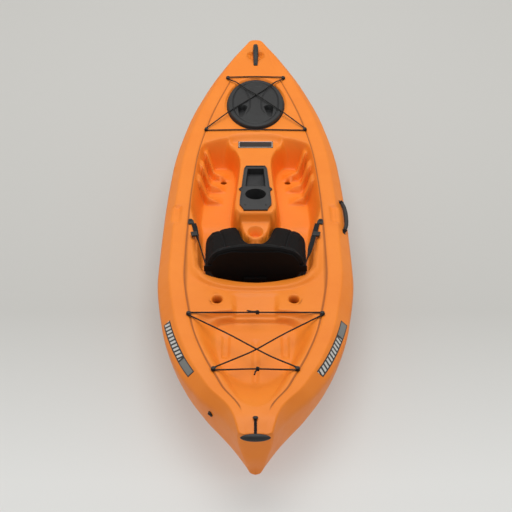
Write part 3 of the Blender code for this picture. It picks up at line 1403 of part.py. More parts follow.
def fitting_cuts(shell):
    """Every flat, dimple and screw hole that the fittings need in the hull."""
    for i, frame in enumerate(rim_screw_frames()):
        cut(shell, hole(f"hull_rim_screw_{i}", frame, depth=2 * SHANK_LENGTH))
    frame, reach = bow_handle_frame(), bow_handle_reach()
    dimple = (BOW_DIMPLE_R, BOW_DIMPLE_R)
    cut(shell, dish("bow_dimple", offset(frame, z=2 * SEAT_SINK), dimple, BOW_DIMPLE_DEPTH))
    size = (2 * (BOW_HANDLE_HALF + SEAT_MARGIN), BOW_HANDLE_PAD + 2 * SEAT_MARGIN, 0.03)
    for i, side in enumerate((-1, 1)):
        centre = (0, side * reach, size[2] / 2)
        cut(shell, as_cutter(block(f"bow_handle_seat_{i}", size, frame, centre, cutters)))
        cut(shell, hole(f"hull_bow_handle_{i}", offset(frame, 0, side * reach), 0.03))
    frame = side_handle_frame()
    reach = (SIDE_HANDLE_ENDS[1] - SIDE_HANDLE_ENDS[0]) / 2
    cut(shell, dish("side_dimple", offset(frame, z=2 * SEAT_SINK), SIDE_DIMPLE, SIDE_DIMPLE_DEPTH))
    length, width, _ = SIDE_TAB
    foot = SIDE_TAB_FOOT[0]
    for i, side in enumerate((-1, 1)):
        size = (width + 2 * SEAT_MARGIN, length + foot + 2 * SEAT_MARGIN, 0.02)
        centre = (0, side * (reach + foot / 2), size[2] / 2)
        cut(shell, as_cutter(block(f"side_tab_seat_{i}", size, frame, centre, cutters)))
        place = offset(frame, 0, side * (reach + length / 2 + foot / 2))
        cut(shell, hole(f"hull_side_handle_{i}", place, 0.02))
    flat = BUTTON_HEAD_R + SEAT_MARGIN
    for name, place in button_places():
        cut(shell, hole(f"hull_{name}", place, 0.02, seat=flat))
    for side in (1, -1):
        cut(shell, hole(f"hull_anchor_{side}", strap_anchor_frame(side), 0.02, seat=flat))
        place = offset(spine_frame(0.0), TRAY_SCREW[0] * side, TRAY_SCREW[1])
        cut(shell, hole(f"hull_console_{side}", place, 0.02))
    cut(shell, hole("hull_toggle", toggle_screw_frame(), 0.02))
    flat = DRAIN_HEAD_R + 4 * SEAT_MARGIN
    cut(shell, hole("hull_drain", drain_frame(), 0.03, DRAIN_SHANK_R, seat=flat, sides=20))


def dish(name, frame, radii, depth):
    """A shallow oval dish, sunk below the frame's plane."""
    profile = [
        (0.0, 0.3 * depth), (1.15, 0.3 * depth), (1.0, 0.0), (0.75, -0.6 * depth), (0.40, -0.92 * depth),
        (0.0, -depth),
    ]
    bowl = turned(name, profile, frame, cutters, 20)
    bowl.matrix_world = frame @ Matrix.Diagonal((*radii, 1, 1))
    return as_cutter(bowl)


def hull():
    """The one-piece hull: its form less its pockets, less a hollow that leaves a wall round every pocket."""
    shell = hull_form("hull", 0.0, 0.0, 1.0, collection)
    hollow = as_cutter(hull_form("hull_hollow", WALL, *HOLLOW_REACH, cutters))
    for pocket in pockets(0.0):
        cut(shell, pocket)
    for wall in pockets(WALL):
        cut(hollow, wall)
    for side in (1, -1):
        x, y = SCUPPER[0] * side, SCUPPER[1]
        cut(hollow, round_cutter(f"scupper_wall_{side}", SCUPPER_R + WALL, (x, y, -0.05), (x, y, 0.2)))
    for dimple in hollow_dimples():
        cut(hollow, dimple)
    cut(shell, hollow)
    for side in (1, -1):
        x, y = SCUPPER[0] * side, SCUPPER[1]
        cut(shell, round_cutter(f"scupper_bore_{side}", SCUPPER_R, (x, y, -0.06), (x, y, 0.2)))
    mouth = oval_loft("hatch_mouth", [(0, 0.01), (0, -0.02)], cutters)
    cut(shell, as_cutter(mouth))
    fitting_cuts(shell)
    return finish(shell, "hull")


def hollow_dimples():
    """The wall under each handle's dish, kept out of the hollow."""
    bow = offset(bow_handle_frame(), z=2 * SEAT_SINK)
    side = offset(side_handle_frame(), z=2 * SEAT_SINK)
    bow_radii = (BOW_DIMPLE_R + WALL, BOW_DIMPLE_R + WALL)
    side_radii = tuple(radius + WALL for radius in SIDE_DIMPLE)
    return [
        dish("bow_dimple_wall", bow, bow_radii, BOW_DIMPLE_DEPTH + WALL),
        dish("side_dimple_wall", side, side_radii, SIDE_DIMPLE_DEPTH + WALL),
    ]


def main():
    global collection, cutters
    clear_scene()
    collection = new_collection("kayak")
    cutters = new_collection("cutters")
    hull()
    hatch()
    bow_handle()
    side_handle()
    stern_toggle()
    deck_buttons()
    shock_cords()
    console()
    seat()
    backrest()
    seat_straps()
    drain()
    foam()


main()
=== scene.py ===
import json
import math

import bmesh
import bpy
import numpy as np
from mathutils import Matrix, Vector
from mathutils.bvhtree import BVHTree

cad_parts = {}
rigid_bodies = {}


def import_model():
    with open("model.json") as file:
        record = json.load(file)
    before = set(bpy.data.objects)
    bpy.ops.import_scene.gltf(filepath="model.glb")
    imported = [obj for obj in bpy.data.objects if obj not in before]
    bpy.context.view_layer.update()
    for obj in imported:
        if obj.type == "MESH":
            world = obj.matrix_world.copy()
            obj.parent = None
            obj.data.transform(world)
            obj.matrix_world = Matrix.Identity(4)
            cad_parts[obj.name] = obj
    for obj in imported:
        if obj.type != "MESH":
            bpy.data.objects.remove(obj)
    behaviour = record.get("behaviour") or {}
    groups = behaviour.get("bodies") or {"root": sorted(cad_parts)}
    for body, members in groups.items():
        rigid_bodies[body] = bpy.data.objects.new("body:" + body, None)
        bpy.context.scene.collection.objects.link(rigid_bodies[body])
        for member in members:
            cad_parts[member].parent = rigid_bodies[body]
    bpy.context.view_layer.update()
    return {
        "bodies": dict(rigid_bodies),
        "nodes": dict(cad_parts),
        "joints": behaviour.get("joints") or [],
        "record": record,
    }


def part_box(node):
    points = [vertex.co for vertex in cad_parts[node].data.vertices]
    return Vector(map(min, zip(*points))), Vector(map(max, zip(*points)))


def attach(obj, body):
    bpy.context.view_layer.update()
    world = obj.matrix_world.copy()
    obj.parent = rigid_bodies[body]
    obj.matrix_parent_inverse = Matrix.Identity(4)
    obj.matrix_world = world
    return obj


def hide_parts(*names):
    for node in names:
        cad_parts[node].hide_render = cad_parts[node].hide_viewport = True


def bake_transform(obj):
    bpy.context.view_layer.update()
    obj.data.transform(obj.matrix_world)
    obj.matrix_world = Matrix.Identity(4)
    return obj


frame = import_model()
nodes = frame["nodes"]

# Hull. One rotomoulded shell of orange polyethylene, about 4.5 mm thick, drawn here as its outer skin.
# Its lines are given as (distance along, half-breadth, height), and every edge has the round of a mould.
STERN_END, BOW_END = -1.497, 1.525
KEEL = [
    (-1.398, 0.0, 0.022), (-1.25, 0.0, 0.012), (-1.0, 0.0, 0.012), (-0.7, 0.0, 0.026), (0.0, 0.0, 0.03),
    (0.7, 0.0, 0.026), (1.0, 0.0, 0.014), (1.2, 0.0, 0.022), (1.385, 0.0, 0.095),
]
RUNNER_IN = [
    (-1.401, 0.018, 0.03), (-1.3, 0.03, 0.018), (-1.0, 0.075, 0.004), (-0.75, 0.088, 0.0),
    (0.0, 0.092, 0.0), (0.75, 0.084, 0.0), (1.0, 0.062, 0.006), (1.2, 0.03, 0.03), (1.39, 0.008, 0.105),
]
RUNNER_OUT = [
    (-1.411, 0.024, 0.055), (-1.3, 0.062, 0.032), (-1.1, 0.13, 0.01), (-0.85, 0.186, 0.0),
    (0.0, 0.205, 0.0), (0.8, 0.168, 0.0), (1.05, 0.114, 0.012), (1.25, 0.05, 0.048), (1.4, 0.011, 0.125),
]
CHINE = [
    (-1.45, 0.034, 0.125), (-1.34, 0.098, 0.12), (-1.195, 0.186, 0.112), (-1.02, 0.262, 0.104),
    (-0.76, 0.322, 0.098), (-0.4, 0.352, 0.095), (0.0, 0.352, 0.095), (0.45, 0.33, 0.098),
    (0.8, 0.28, 0.108), (1.1, 0.19, 0.13), (1.3, 0.106, 0.165), (1.455, 0.018, 0.235),
]
SIDE = [
    (-1.489, 0.06, 0.262), (-1.377, 0.112, 0.252), (-1.226, 0.212, 0.238), (-1.01, 0.303, 0.222),
    (-0.76, 0.358, 0.212), (-0.4, 0.3915, 0.205), (0.0, 0.3875, 0.205), (0.45, 0.367, 0.222),
    (0.8, 0.315, 0.25), (1.1, 0.23, 0.284), (1.35, 0.127, 0.318), (1.52, 0.036, 0.345),
]
EDGE_HEIGHT = [
    (-1.497, 0.288), (-1.42, 0.307), (-1.2, 0.29), (-0.9, 0.271), (-0.5, 0.257), (0.0, 0.252),
    (0.4, 0.256), (0.75, 0.274), (1.15, 0.316), (1.45, 0.352), (1.525, 0.36),
]
GUNWALE_RUN = [
    (-1.497, 0.0), (-1.3, 0.036), (-1.0, 0.052), (0.0, 0.048), (0.9, 0.04), (1.45, 0.018), (1.525, 0.01),
]
DECK_BAND = [
    (-1.497, 0.022), (-1.42, 0.03), (-1.36, 0.037), (-1.25, 0.047), (-1.15, 0.055), (-1.0, 0.058),
    (1.15, 0.058), (1.28, 0.045), (1.38, 0.026), (1.525, 0.014),
]
# A window is (edge, run): it opens past its edge over the run, or closes there where the run is negative.
GROOVE_ENDS = ((-1.4, 0.05), (1.19, -0.05))
CREASE_DROP, CROWN_RISE, CREASE_FADE = 0.003, 0.004, 0.060
CREASE_GROOVE, CREASE_LIP, CREASE_ROWS = 0.0036, 0.0034, (0.07, 0.10)
# Row spacing along the hull as (from, to, step), finest where the moulding has most form.
ROW_SPANS = [
    (-1.485, -1.4, 0.006), (-1.4, -0.8, 0.0075), (-0.8, -0.5, 0.0045), (-0.5, 0.03, 0.0065),
    (0.03, 0.72, 0.0052), (0.72, 1.19, 0.0062), (1.19, 1.512, 0.0085),
]
# Each end as (place, length that turns in, squareness, droop of its top).
STEMS = ((STERN_END, 0.012, 4.0, 0.06), (BOW_END, 0.016, 2.2, 0.10))
NOSE_ROWS = [0.0, 0.004, 0.02, 0.08, 0.22, 0.45, 0.75]
# Fillets at the knuckles between crease and keel, as lengths along each panel, and rows within each panel.
FILLETS, FILLET_SHARE = [0.007, 0.014, 0.034, 0.022, 0.012], 0.45
PANEL_ROWS = [5, 3, 4, 2, 2, 2]
BULGED_PANEL, SIDE_BULGE = 2, 0.003
# Deck columns follow the walls of the moulding: each line's share of the crease's half-breadth.
COLUMN_LINES = [
    [(-1.5, 0.3), (-1.2, 0.4), (-1.0, 0.44), (-0.87, 0.385), (-0.74, 0.355), (-0.6, 0.4), (-0.45, 0.25),
     (-0.1, 0.17), (-0.06, 0.13), (-0.03, 0.18), (0.035, 0.235), (0.065, 0.327), (0.155, 0.306),
     (0.32, 0.269), (0.49, 0.247), (0.57, 0.326), (0.635, 0.48), (0.7, 0.46), (0.85, 0.3), (1.53, 0.3)],
    [(-1.5, 0.45), (-1.2, 0.52), (-1.0, 0.6), (-0.87, 0.57), (-0.74, 0.54), (-0.6, 0.66), (-0.45, 0.45),
     (-0.1, 0.25), (-0.06, 0.2), (-0.03, 0.23), (0.035, 0.28), (0.065, 0.43), (0.155, 0.392),
     (0.32, 0.357), (0.49, 0.34), (0.57, 0.42), (0.635, 0.57), (0.7, 0.58), (0.85, 0.5), (1.53, 0.5)],
    [(-1.5, 0.7), (-1.2, 0.66), (-1.0, 0.68), (-0.87, 0.68), (-0.74, 0.66), (-0.6, 0.76), (-0.45, 0.6),
     (-0.24, 0.745), (0.05, 0.75), (0.12, 0.82), (0.5, 0.81), (0.6, 0.8), (0.85, 0.74), (1.53, 0.74)],
    [(-1.5, 0.88), (-1.2, 0.84), (-1.0, 0.93), (-0.87, 0.97), (-0.74, 0.9), (-0.6, 0.9), (-0.45, 0.79),
     (-0.238, 0.869), (-0.05, 0.909), (0.065, 0.93), (0.15, 0.975), (0.6, 0.975), (0.85, 0.9), (1.53, 0.9)],
]
COLUMN_CELLS = [12, 8, 20, 9, 4, 1]
# Cockpit outline at the deck and at the floor, starboard half, from the seat's back round to its middle.
ARCH = [
    (0.0, 0.704), (0.06, 0.7), (0.11, 0.684), (0.17, 0.656), (0.236, 0.618), (0.3, 0.58),
]
SEAT_RIM = [
    (0.0, -0.548), (0.06, -0.542), (0.12, -0.522), (0.172, -0.499), (0.212, -0.466), (0.237, -0.405),
    (0.243, -0.33), (0.247, -0.27), (0.253, -0.16), (0.257, -0.045), (0.272, 0.03), (0.279, 0.08),
]
SIDE_WALL, RIM_INSET, FOOT_WALL_RUN = (0.10, 0.56, 8), 0.003, 0.048
FOOT_CORNER = [(0.238, 0.612), (0.226, 0.624), (0.17, 0.655)]
SPINE_RIM = [
    (0.114, 0.668), (0.117, 0.635), (0.082, 0.57), (0.064, 0.49), (0.073, 0.32), (0.084, 0.155),
    (0.088, 0.1), (0.082, 0.068), (0.066, 0.048), (0.057, 0.01), (0.051, -0.014), (0.043, -0.036),
    (0.027, -0.057), (0.0, -0.069),
]
SEAT_FLOOR = [
    (0.0, -0.45), (0.09, -0.446), (0.165, -0.425), (0.207, -0.37), (0.217, -0.24), (0.22, -0.05),
    (0.224, 0.066),
]
SPINE_FLOOR = [
    (0.206, 0.593), (0.14, 0.605), (0.122, 0.598), (0.104, 0.57), (0.088, 0.49), (0.097, 0.32),
    (0.107, 0.155), (0.107, 0.1), (0.098, 0.068), (0.073, 0.046), (0.062, 0.008), (0.055, -0.016),
    (0.046, -0.04), (0.03, -0.062), (0.0, -0.076),
]
FOOT_FLOOR_Z, SEAT_FLOOR_Z, FLOOR_STEP, SEAT_WALL_ROUND = 0.135, 0.128, (0.04, 0.06), 0.65
# A ledge in a wall is (its share of the drop, where it is reached, where the wall goes on).
SEAT_LEDGE, SEAT_LEDGE_Y, SEAT_LEDGE_X = (0.16, 0.14, 0.30), (0.03, -0.10), (0.10, 0.05)
SPINE_TOP_Z, SPINE_SLOPE, SPINE_FRONT_Y, SPINE_AFT_Y = 0.243, 0.015, 0.605, 0.045
SPINE_SIDE, SPINE_AFT, ARCH_RUN = (0.104, 0.030), (-0.20, 0.10), 0.040
POMMEL_Z, POMMEL_SLOPE, POMMEL_STEP = 0.196, 0.229, (0.051, -0.014)
# Foot braces: the edge that faces the seat, from the tab by the gunwale to the spine, and the rise along it.
BRACES = [
    [(0.247, 0.592, 0.101), (0.232, 0.578, 0.101), (0.217, 0.552, 0.096), (0.185, 0.497, 0.034),
     (0.15, 0.494, 0.02), (0.118, 0.493, 0.0)],
    [(0.26, 0.467, 0.101), (0.246, 0.453, 0.101), (0.231, 0.43, 0.096), (0.2015, 0.391, 0.034),
     (0.165, 0.389, 0.02), (0.133, 0.388, 0.0)],
    [(0.27, 0.34, 0.101), (0.2555, 0.327, 0.101), (0.241, 0.308, 0.094), (0.208, 0.28, 0.032),
     (0.175, 0.278, 0.018), (0.144, 0.277, 0.0)],
]
BRACE_TOP_Z, BRACE_EDGE, BRACE_FLAT, BRACE_RUN, TAB_FLAT, TAB_RUN = 0.236, 0.007, 0.018, 0.056, 0.036, 0.026
BRACE_SLANT, BRACE_BLEND, BRACE_FROM_Y, LEAST_RISE = 0.55, 0.006, 0.2, 0.0005
# The spine is sunk below the console, and the fore deck is sunk to a flat for the hatch.
CONSOLE_WELL = [
    (0.141, 0.046), (0.193, 0.049), (0.258, 0.049), (0.34, 0.044), (0.422, 0.038),
]
CONSOLE_WELL_DEPTH, CONSOLE_WALL = 0.066, 0.006
HATCH_PLACE, HATCH_NORMAL = (0.0, 0.946, 0.2856), (0.0, -0.0549, 0.9985)
HATCH_FLAT, HATCH_FLAT_R, HATCH_FLAT_RUN = (0.143, 0.230), 0.17, 0.006
HATCH_MOUTH, HATCH_MOUTH_R, HATCH_MOUTH_RUN = (0.104, 0.191), 0.14, 0.010
HATCH_WELL_Z, HATCH_GROOVE, HATCH_GROOVE_RUN = 0.105, 0.0022, 0.0035
# Raised coaming behind the seat, and the sunk panel of the rear deck.
COAMING = [
    (0.283, -0.33), (0.262, -0.44), (0.22, -0.52), (0.15, -0.57), (0.08, -0.588), (0.0, -0.592),
]
COAMING_RISE, COAMING_RUN, COAMING_SIDE = 0.012, 0.016, 0.05
COAMING_REACH, COAMING_FRONT = 0.35, (-0.16, -0.20)
REAR_PANEL_SIDE, REAR_PANEL_ENDS = (0.088, -0.014), ((-0.592, -0.03), (-0.80, 0.05))
REAR_PANEL_DROP, REAR_PANEL_FALL = (0.004, 0.020), (-0.60, 0.12)
# Tankwell outline at the deck and at the floor, with two kinds of channel as (centre, half, front, aft).
TANK_RIM = [
    (0.0, -0.716), (0.1, -0.719), (0.19, -0.73), (0.226, -0.742), (0.24, -0.78), (0.225, -0.87),
    (0.205, -0.95), (0.183, -1.03), (0.16, -1.085), (0.141, -1.125), (0.131, -1.165), (0.106, -1.235),
    (0.079, -1.305), (0.056, -1.355), (0.03, -1.378), (0.0, -1.385),
]
TANK_FLOOR = [
    (0.0, -0.749), (0.11, -0.751), (0.144, -0.77), (0.148, -0.86), (0.138, -0.96), (0.12, -1.04),
    (0.098, -1.12), (0.084, -1.18), (0.06, -1.27), (0.036, -1.345), (0.0, -1.372),
]
TANK_FLOOR_Z, TANK_KNEE_Y, TANK_AFT_Y, TANK_AFT_Z = 0.2185, -1.135, -1.345, 0.298
TANK_LEDGE, TANK_LEDGE_Y, TANK_WALL_ROUND = (0.48, 0.44, 0.56), (-0.79, 0.035), 0.7
TANK_BEND, TANK_SINK, KNEE_SWEEP, KNEE_HALF = 0.006, 0.001, 0.055, 0.09
CHANNELS = ((0.0, 0.009, -0.850, -1.130), (0.111, 0.013, -0.815, -0.975))
CHANNEL_DEPTH, CHANNEL_WALL, CHANNEL_END = 0.006, 0.005, 0.02


def along(points, at, column=1):
    """The column of a table at each place, on a smooth curve through its points."""
    table = np.array(sorted(points), float)
    keys, values = table[:, 0], table[:, column]
    steps = np.diff(values) / np.diff(keys)
    slopes = np.zeros(len(keys))
    slopes[0], slopes[-1] = steps[0], steps[-1]
    product = steps[:-1] * steps[1:]
    same = product > 0
    slopes[1:-1][same] = 2 * product[same] / (steps[:-1] + steps[1:])[same]
    at = np.clip(np.asarray(at, float), keys[0], keys[-1])
    i = np.clip(np.searchsorted(keys, at, side="right") - 1, 0, len(keys) - 2)
    span = keys[i + 1] - keys[i]
    t = (at - keys[i]) / span
    smooth = (2 * t**3 - 3 * t**2 + 1) * values[i] + (3 * t**2 - 2 * t**3) * values[i + 1]
    return smooth + ((t**3 - 2 * t**2 + t) * slopes[i] + (t**3 - t**2) * slopes[i + 1]) * span


def edge_half(y):
    return np.maximum(along(SIDE, y) - along(GUNWALE_RUN, y), 0.012)


def crease_half(y):
    return np.maximum(edge_half(y) - along(DECK_BAND, y), 0.005)


def crease_z(y):
    return along(EDGE_HEIGHT, y) - CREASE_DROP * np.minimum(crease_half(y) / CREASE_FADE, 1)


def deck_z(y):
    return crease_z(y) + CROWN_RISE * np.minimum(crease_half(y) / CREASE_FADE, 1)


def ease(t):
    t = np.clip(t, 0, 1)
    return t * t * (3 - 2 * t)


def circle(count):
    return np.linspace(0, 2 * math.pi, count, endpoint=False)


def gate(value, *windows):
    """The share that a value gets through its windows."""
    share = 1.0
    for edge, run in windows:
        share = share * ease((value - edge) / run)
    return share


def mix(first, second, share):
    return first + (second - first) * share


def softened(line, rounds=2):
    """A polyline with its corners cut twice over, its ends kept."""
    points = [np.array(p, float) for p in line]
    for _ in range(rounds):
        cut = [points[0]]
        for a, b in zip(points, points[1:]):
            cut += [a * 0.75 + b * 0.25, a * 0.25 + b * 0.75]
        points = cut + [points[-1]]
    return points


def nearest(x, y, line):
    """Distance of each plan point from a polyline."""
    best = np.full(np.broadcast(x, y).shape, np.inf)
    for a, b in zip(line, line[1:]):
        run = b - a
        t = np.clip(((x - a[0]) * run[0] + (y - a[1]) * run[1]) / max(run @ run, 1e-12), 0, 1)
        best = np.minimum(best, np.hypot(x - a[0] - t * run[0], y - a[1] - t * run[1]))
    return best


def within(x, y, outline):
    """Which plan points lie inside a closed outline."""
    inside = np.zeros(np.broadcast(x, y).shape, bool)
    for a, b in zip(outline, outline[1:] + outline[:1]):
        crosses = (a[1] > y) != (b[1] > y)
        with np.errstate(divide="ignore", invalid="ignore"):
            inside ^= crosses & (x < (b[0] - a[0]) * (y - a[1]) / (b[1] - a[1]) + a[0])
    return inside


def wall_share(x, y, rim, floor):
    """0 outside a pocket's rim, 1 over its floor, and the share of the way down the wall between them."""
    down, up = nearest(x, y, rim), nearest(x, y, floor)
    share = down / (down + up + 1e-9)
    share = np.where(within(x, y, floor), 1.0, share)
    return np.where(within(x, y, rim), share, 0.0)


def stepped(share, level, reached, onward):
    """The way down a wall that has a ledge in it."""
    return level * ease(share / reached) + (1 - level) * ease((share - onward) / (1 - onward))


def deck_height(x, y):
    """Height of the deck's moulded surface at plan points, before the round holes are put in."""
    x = np.abs(x)
    half = crease_half(y)
    crown = 1 - np.clip(x / half, 0, 1) ** 2
    z = crease_z(y) + (deck_z(y) - crease_z(y)) * crown
    # The coaming rises behind the seat and falls away to the crease at each side.
    coaming = softened(COAMING)
    inside = within(x, y, [np.array((0.0, 0.0)), np.array((COAMING_REACH, 0.0)), *coaming])
    reach = np.where(inside, nearest(x, y, coaming), 0.0)
    rise = COAMING_RISE * ease(reach / COAMING_RUN) * gate(y, COAMING_FRONT)
    z = z + rise * ease((half - x) / COAMING_SIDE)
    sunk = gate(x, REAR_PANEL_SIDE) * gate(y, *REAR_PANEL_ENDS)
    z = z - mix(*REAR_PANEL_DROP, np.clip((REAR_PANEL_FALL[0] - y) / REAR_PANEL_FALL[1], 0, 1)) * sunk
    # The spine's top lies lower than the fore deck, and the pommel lower again.
    spine = SPINE_TOP_Z - SPINE_SLOPE * (SPINE_FRONT_Y - y)
    lowered = ease((along(ARCH, x) - y) / ARCH_RUN) * (1 - gate(x, SPINE_SIDE)) * gate(y, SPINE_AFT)
    z = mix(z, spine, lowered)
    pommel = POMMEL_Z + POMMEL_SLOPE * (y - SPINE_AFT_Y)
    z = np.where(y > SPINE_AFT[0], mix(z, pommel, gate(y, POMMEL_STEP) * lowered), z)
    # Footwells and seat are one pocket, deeper than the spine between them.
    side_y = np.linspace(*SIDE_WALL)
    rim = SEAT_RIM + [(crease_half(s) - RIM_INSET, s) for s in side_y] + FOOT_CORNER + SPINE_RIM
    floor = SEAT_FLOOR + [(crease_half(s) - FOOT_WALL_RUN, s) for s in side_y] + SPINE_FLOOR
    share = wall_share(x, y, softened(rim), softened(floor))
    plain = mix(share, ease(share), SEAT_WALL_ROUND)
    drop = mix(plain, stepped(share, *SEAT_LEDGE), gate(y, SEAT_LEDGE_Y) * gate(x, SEAT_LEDGE_X))
    pocket = z - drop * (z - mix(SEAT_FLOOR_Z, FOOT_FLOOR_Z, gate(y, FLOOR_STEP)))
    # Foot braces: moulded steps across the floor and up the outer wall, each with its steep face aft.
    for brace in BRACES:
        places, edges, rises = zip(*brace[::-1])
        rise = np.interp(x, places, rises)
        slant = np.where((x > brace[3][0]) & (x < brace[1][0]), BRACE_SLANT, 1.0)
        ahead = (y - np.interp(x, places, edges)) * slant
        tab = ease((x - brace[3][0]) / (brace[2][0] - brace[3][0]))
        fall = (ahead - mix(BRACE_FLAT, TAB_FLAT, tab)) / mix(BRACE_RUN, TAB_RUN, tab)
        shape = ease((ahead + BRACE_EDGE / 2) / BRACE_EDGE) * (1 - ease(fall))
        step = np.minimum(FOOT_FLOOR_Z + rise * shape, BRACE_TOP_Z)
        over = np.clip(0.5 + 0.5 * (step - pocket) / BRACE_BLEND, 0, 1)
        taller = mix(pocket, step, over) + BRACE_BLEND * over * (1 - over)
        near = (share > 0.02) & (y > BRACE_FROM_Y) & (x > places[0]) & (rise * shape > LEAST_RISE)
        pocket = np.where(near, np.minimum(taller, z), pocket)
    z = pocket
    # The console's well, and the hatch's flat with the mouth that opens in it.
    stations, halves = zip(*CONSOLE_WELL)
    across = ease((np.interp(y, stations, halves) - x) / CONSOLE_WALL)
    z = z - CONSOLE_WELL_DEPTH * across * gate(y, (stations[0], CONSOLE_WALL), (stations[-1], -CONSOLE_WALL))
    plane = HATCH_PLACE[2] - (y - HATCH_PLACE[1]) * HATCH_NORMAL[1] / HATCH_NORMAL[2]
    out = HATCH_FLAT_R * (1 - np.hypot(x / HATCH_FLAT[0], (y - HATCH_PLACE[1]) / HATCH_FLAT[1]))
    z = mix(z, plane, ease(out / HATCH_FLAT_RUN)) - HATCH_GROOVE * np.exp(-((out / HATCH_GROOVE_RUN) ** 2))
    out = HATCH_MOUTH_R * (1 - np.hypot(x / HATCH_MOUTH[0], (y - HATCH_PLACE[1]) / HATCH_MOUTH[1]))
    z = mix(z, HATCH_WELL_Z, ease(out / HATCH_MOUTH_RUN))
    # Tankwell: a stepped front wall, long sides, and a ramp up to the stern deck.
    share = wall_share(x, y, softened(TANK_RIM), softened(TANK_FLOOR))
    sides = mix(share, ease(share), TANK_WALL_ROUND)
    drop = mix(sides, stepped(share, *TANK_LEDGE), gate(y, TANK_LEDGE_Y))
    climb = (TANK_AFT_Z - TANK_FLOOR_Z) / (TANK_KNEE_Y - TANK_AFT_Y)
    under = (TANK_KNEE_Y + KNEE_SWEEP * (x / KNEE_HALF) ** 2 - y) * climb
    low = TANK_FLOOR_Z + 0.5 * (under + np.sqrt(under**2 + TANK_BEND**2)) - TANK_SINK
    low = np.minimum(low, z)
    for centre, half_wide, front, aft in CHANNELS:
        across = gate(np.abs(x - centre), (half_wide + CHANNEL_WALL / 2, -CHANNEL_WALL))
        low = low - CHANNEL_DEPTH * across * gate(y, (front, -CHANNEL_END), (aft, CHANNEL_END))
    return z - drop * (z - low)


def hull_rows():
    """The deck's stations, with extra ones where each end turns in."""
    stern = [STEMS[0][0] + STEMS[0][1] * share for share in NOSE_ROWS]
    bow = [STEMS[1][0] - STEMS[1][1] * share for share in reversed(NOSE_ROWS)]
    between = []
    for start, end, step in ROW_SPANS:
        between += list(np.linspace(start, end, max(round((end - start) / step), 1), endpoint=False))
    return np.array(stern + between + [ROW_SPANS[-1][1]] + bow)


def bend(start, corner, end, t):
    """A place on the curve that rounds a corner."""
    return start * (1 - t) ** 2 + corner * 2 * t * (1 - t) + end * t**2


def panel_ring(rows):
    """Points from the crease down to the keel at every station, rounded at each knuckle."""
    share = (rows - STERN_END) / (BOW_END - STERN_END)
    knots = [np.stack([crease_half(rows), rows, crease_z(rows)], 1)]
    knots.append(np.stack([edge_half(rows), rows, along(EDGE_HEIGHT, rows)], 1))
    for line in (SIDE, CHINE, RUNNER_OUT, RUNNER_IN, KEEL):
        at = line[0][0] + (line[-1][0] - line[0][0]) * share
        knots.append(np.stack([along(line, at), at, along(line, at, 2)], 1))
    points = [knots[0].copy(), mix(knots[0], knots[1], CREASE_ROWS[0])]
    points[0][:, 2] -= CREASE_GROOVE * gate(rows, *GROOVE_ENDS)
    left = mix(knots[0], knots[1], CREASE_ROWS[1])
    for i, count in enumerate(PANEL_ROWS):
        a, b = knots[i], knots[i + 1]
        arrive = b
        if i < len(FILLETS):
            length = np.linalg.norm(b - a, axis=1, keepdims=True)
            following = np.linalg.norm(knots[i + 2] - b, axis=1, keepdims=True)
            turn = np.minimum(FILLETS[i], FILLET_SHARE * np.minimum(length, following))
            arrive = b + (a - b) * turn / length
        cells = count + (i == 0)
        for t in np.arange(1, cells + 1) / (cells + 1):
            here = mix(left, arrive, t)
            here[:, 0] += (i == BULGED_PANEL) * SIDE_BULGE * 4 * t * (1 - t)
            points.append(here)
        if i < len(FILLETS):
            left = b + (knots[i + 2] - b) * turn / following
            points += [bend(arrive, b, left, t) for t in (0.0, 1 / 3, 2 / 3, 1.0)]
    return np.array(points + [knots[-1]])


def deck_columns(rows):
    """Half-breadths of the deck's columns at every station, from the crease in to the centreline."""
    half = crease_half(rows)
    lines = [np.zeros_like(rows)] + [half * along(line, rows) for line in COLUMN_LINES]
    lines += [half - np.minimum(CREASE_LIP, half * 0.06), half]
    columns = []
    for inner, outer, cells in zip(lines, lines[1:], COLUMN_CELLS):
        columns += [mix(inner, outer, k / cells) for k in range(cells)]
    return np.array(columns[::-1])


# The finger dish in each gunwale, as windows across and along it.
DISH_ACROSS, DISH_ALONG = ((0.010, -0.010), (-0.030, 0.010)), ((-0.075, 0.05), (0.085, -0.012))
DISH_DEPTH, DISH_ABOVE = 0.010, 0.20
rows = hull_rows()
outer = panel_ring(rows)[::-1]
beside = gate(outer[..., 0] - edge_half(outer[..., 1]), *DISH_ACROSS) * gate(outer[..., 1], *DISH_ALONG)
outer[..., 2] -= DISH_DEPTH * np.where(outer[..., 2] > DISH_ABOVE, beside, 0.0)
columns = deck_columns(rows)
half_deck = np.stack([columns, np.broadcast_to(rows, columns.shape), np.zeros_like(columns)], 2)
ring = np.concatenate([outer, half_deck, half_deck[-2::-1] * (-1, 1, 1), outer[:0:-1] * (-1, 1, 1)])
deck_from, deck_to = len(outer), len(outer) + 2 * len(half_deck) - 1
deck = ring[deck_from:deck_to]
# Painted shade for each point of the hull: its colour is darkened in the grooves and holes, where shadow
# falls.
painted_shade = np.zeros(ring.shape[:2])


def round_out(x, y, radius, turns, fade=4, stretch=1.0):
    """Moves the deck's points round a place on to circles, so that a round feature stays round."""
    far = (deck[..., 0] - x) ** 2 + (deck[..., 1] - y) ** 2
    ci, cj = np.unravel_index(np.argmin(far), far.shape)
    circles = {}
    for di in range(-turns - fade, turns + fade + 1):
        for dj in range(-turns - fade, turns + fade + 1):
            k = max(abs(di), abs(dj))
            i, j = ci + di, cj + dj
            if not 0 <= i < len(deck):
                continue
            angle = math.atan2(dj, -di)
            reach = radius * k / turns
            target = np.array((x + reach * math.cos(angle), y + reach * math.sin(angle) * stretch))
            deck[i, j, :2] = mix(deck[i, j, :2], target, 1 - float(ease((k - turns) / fade)))
            circles.setdefault(k, []).append((i, j))
    return circles


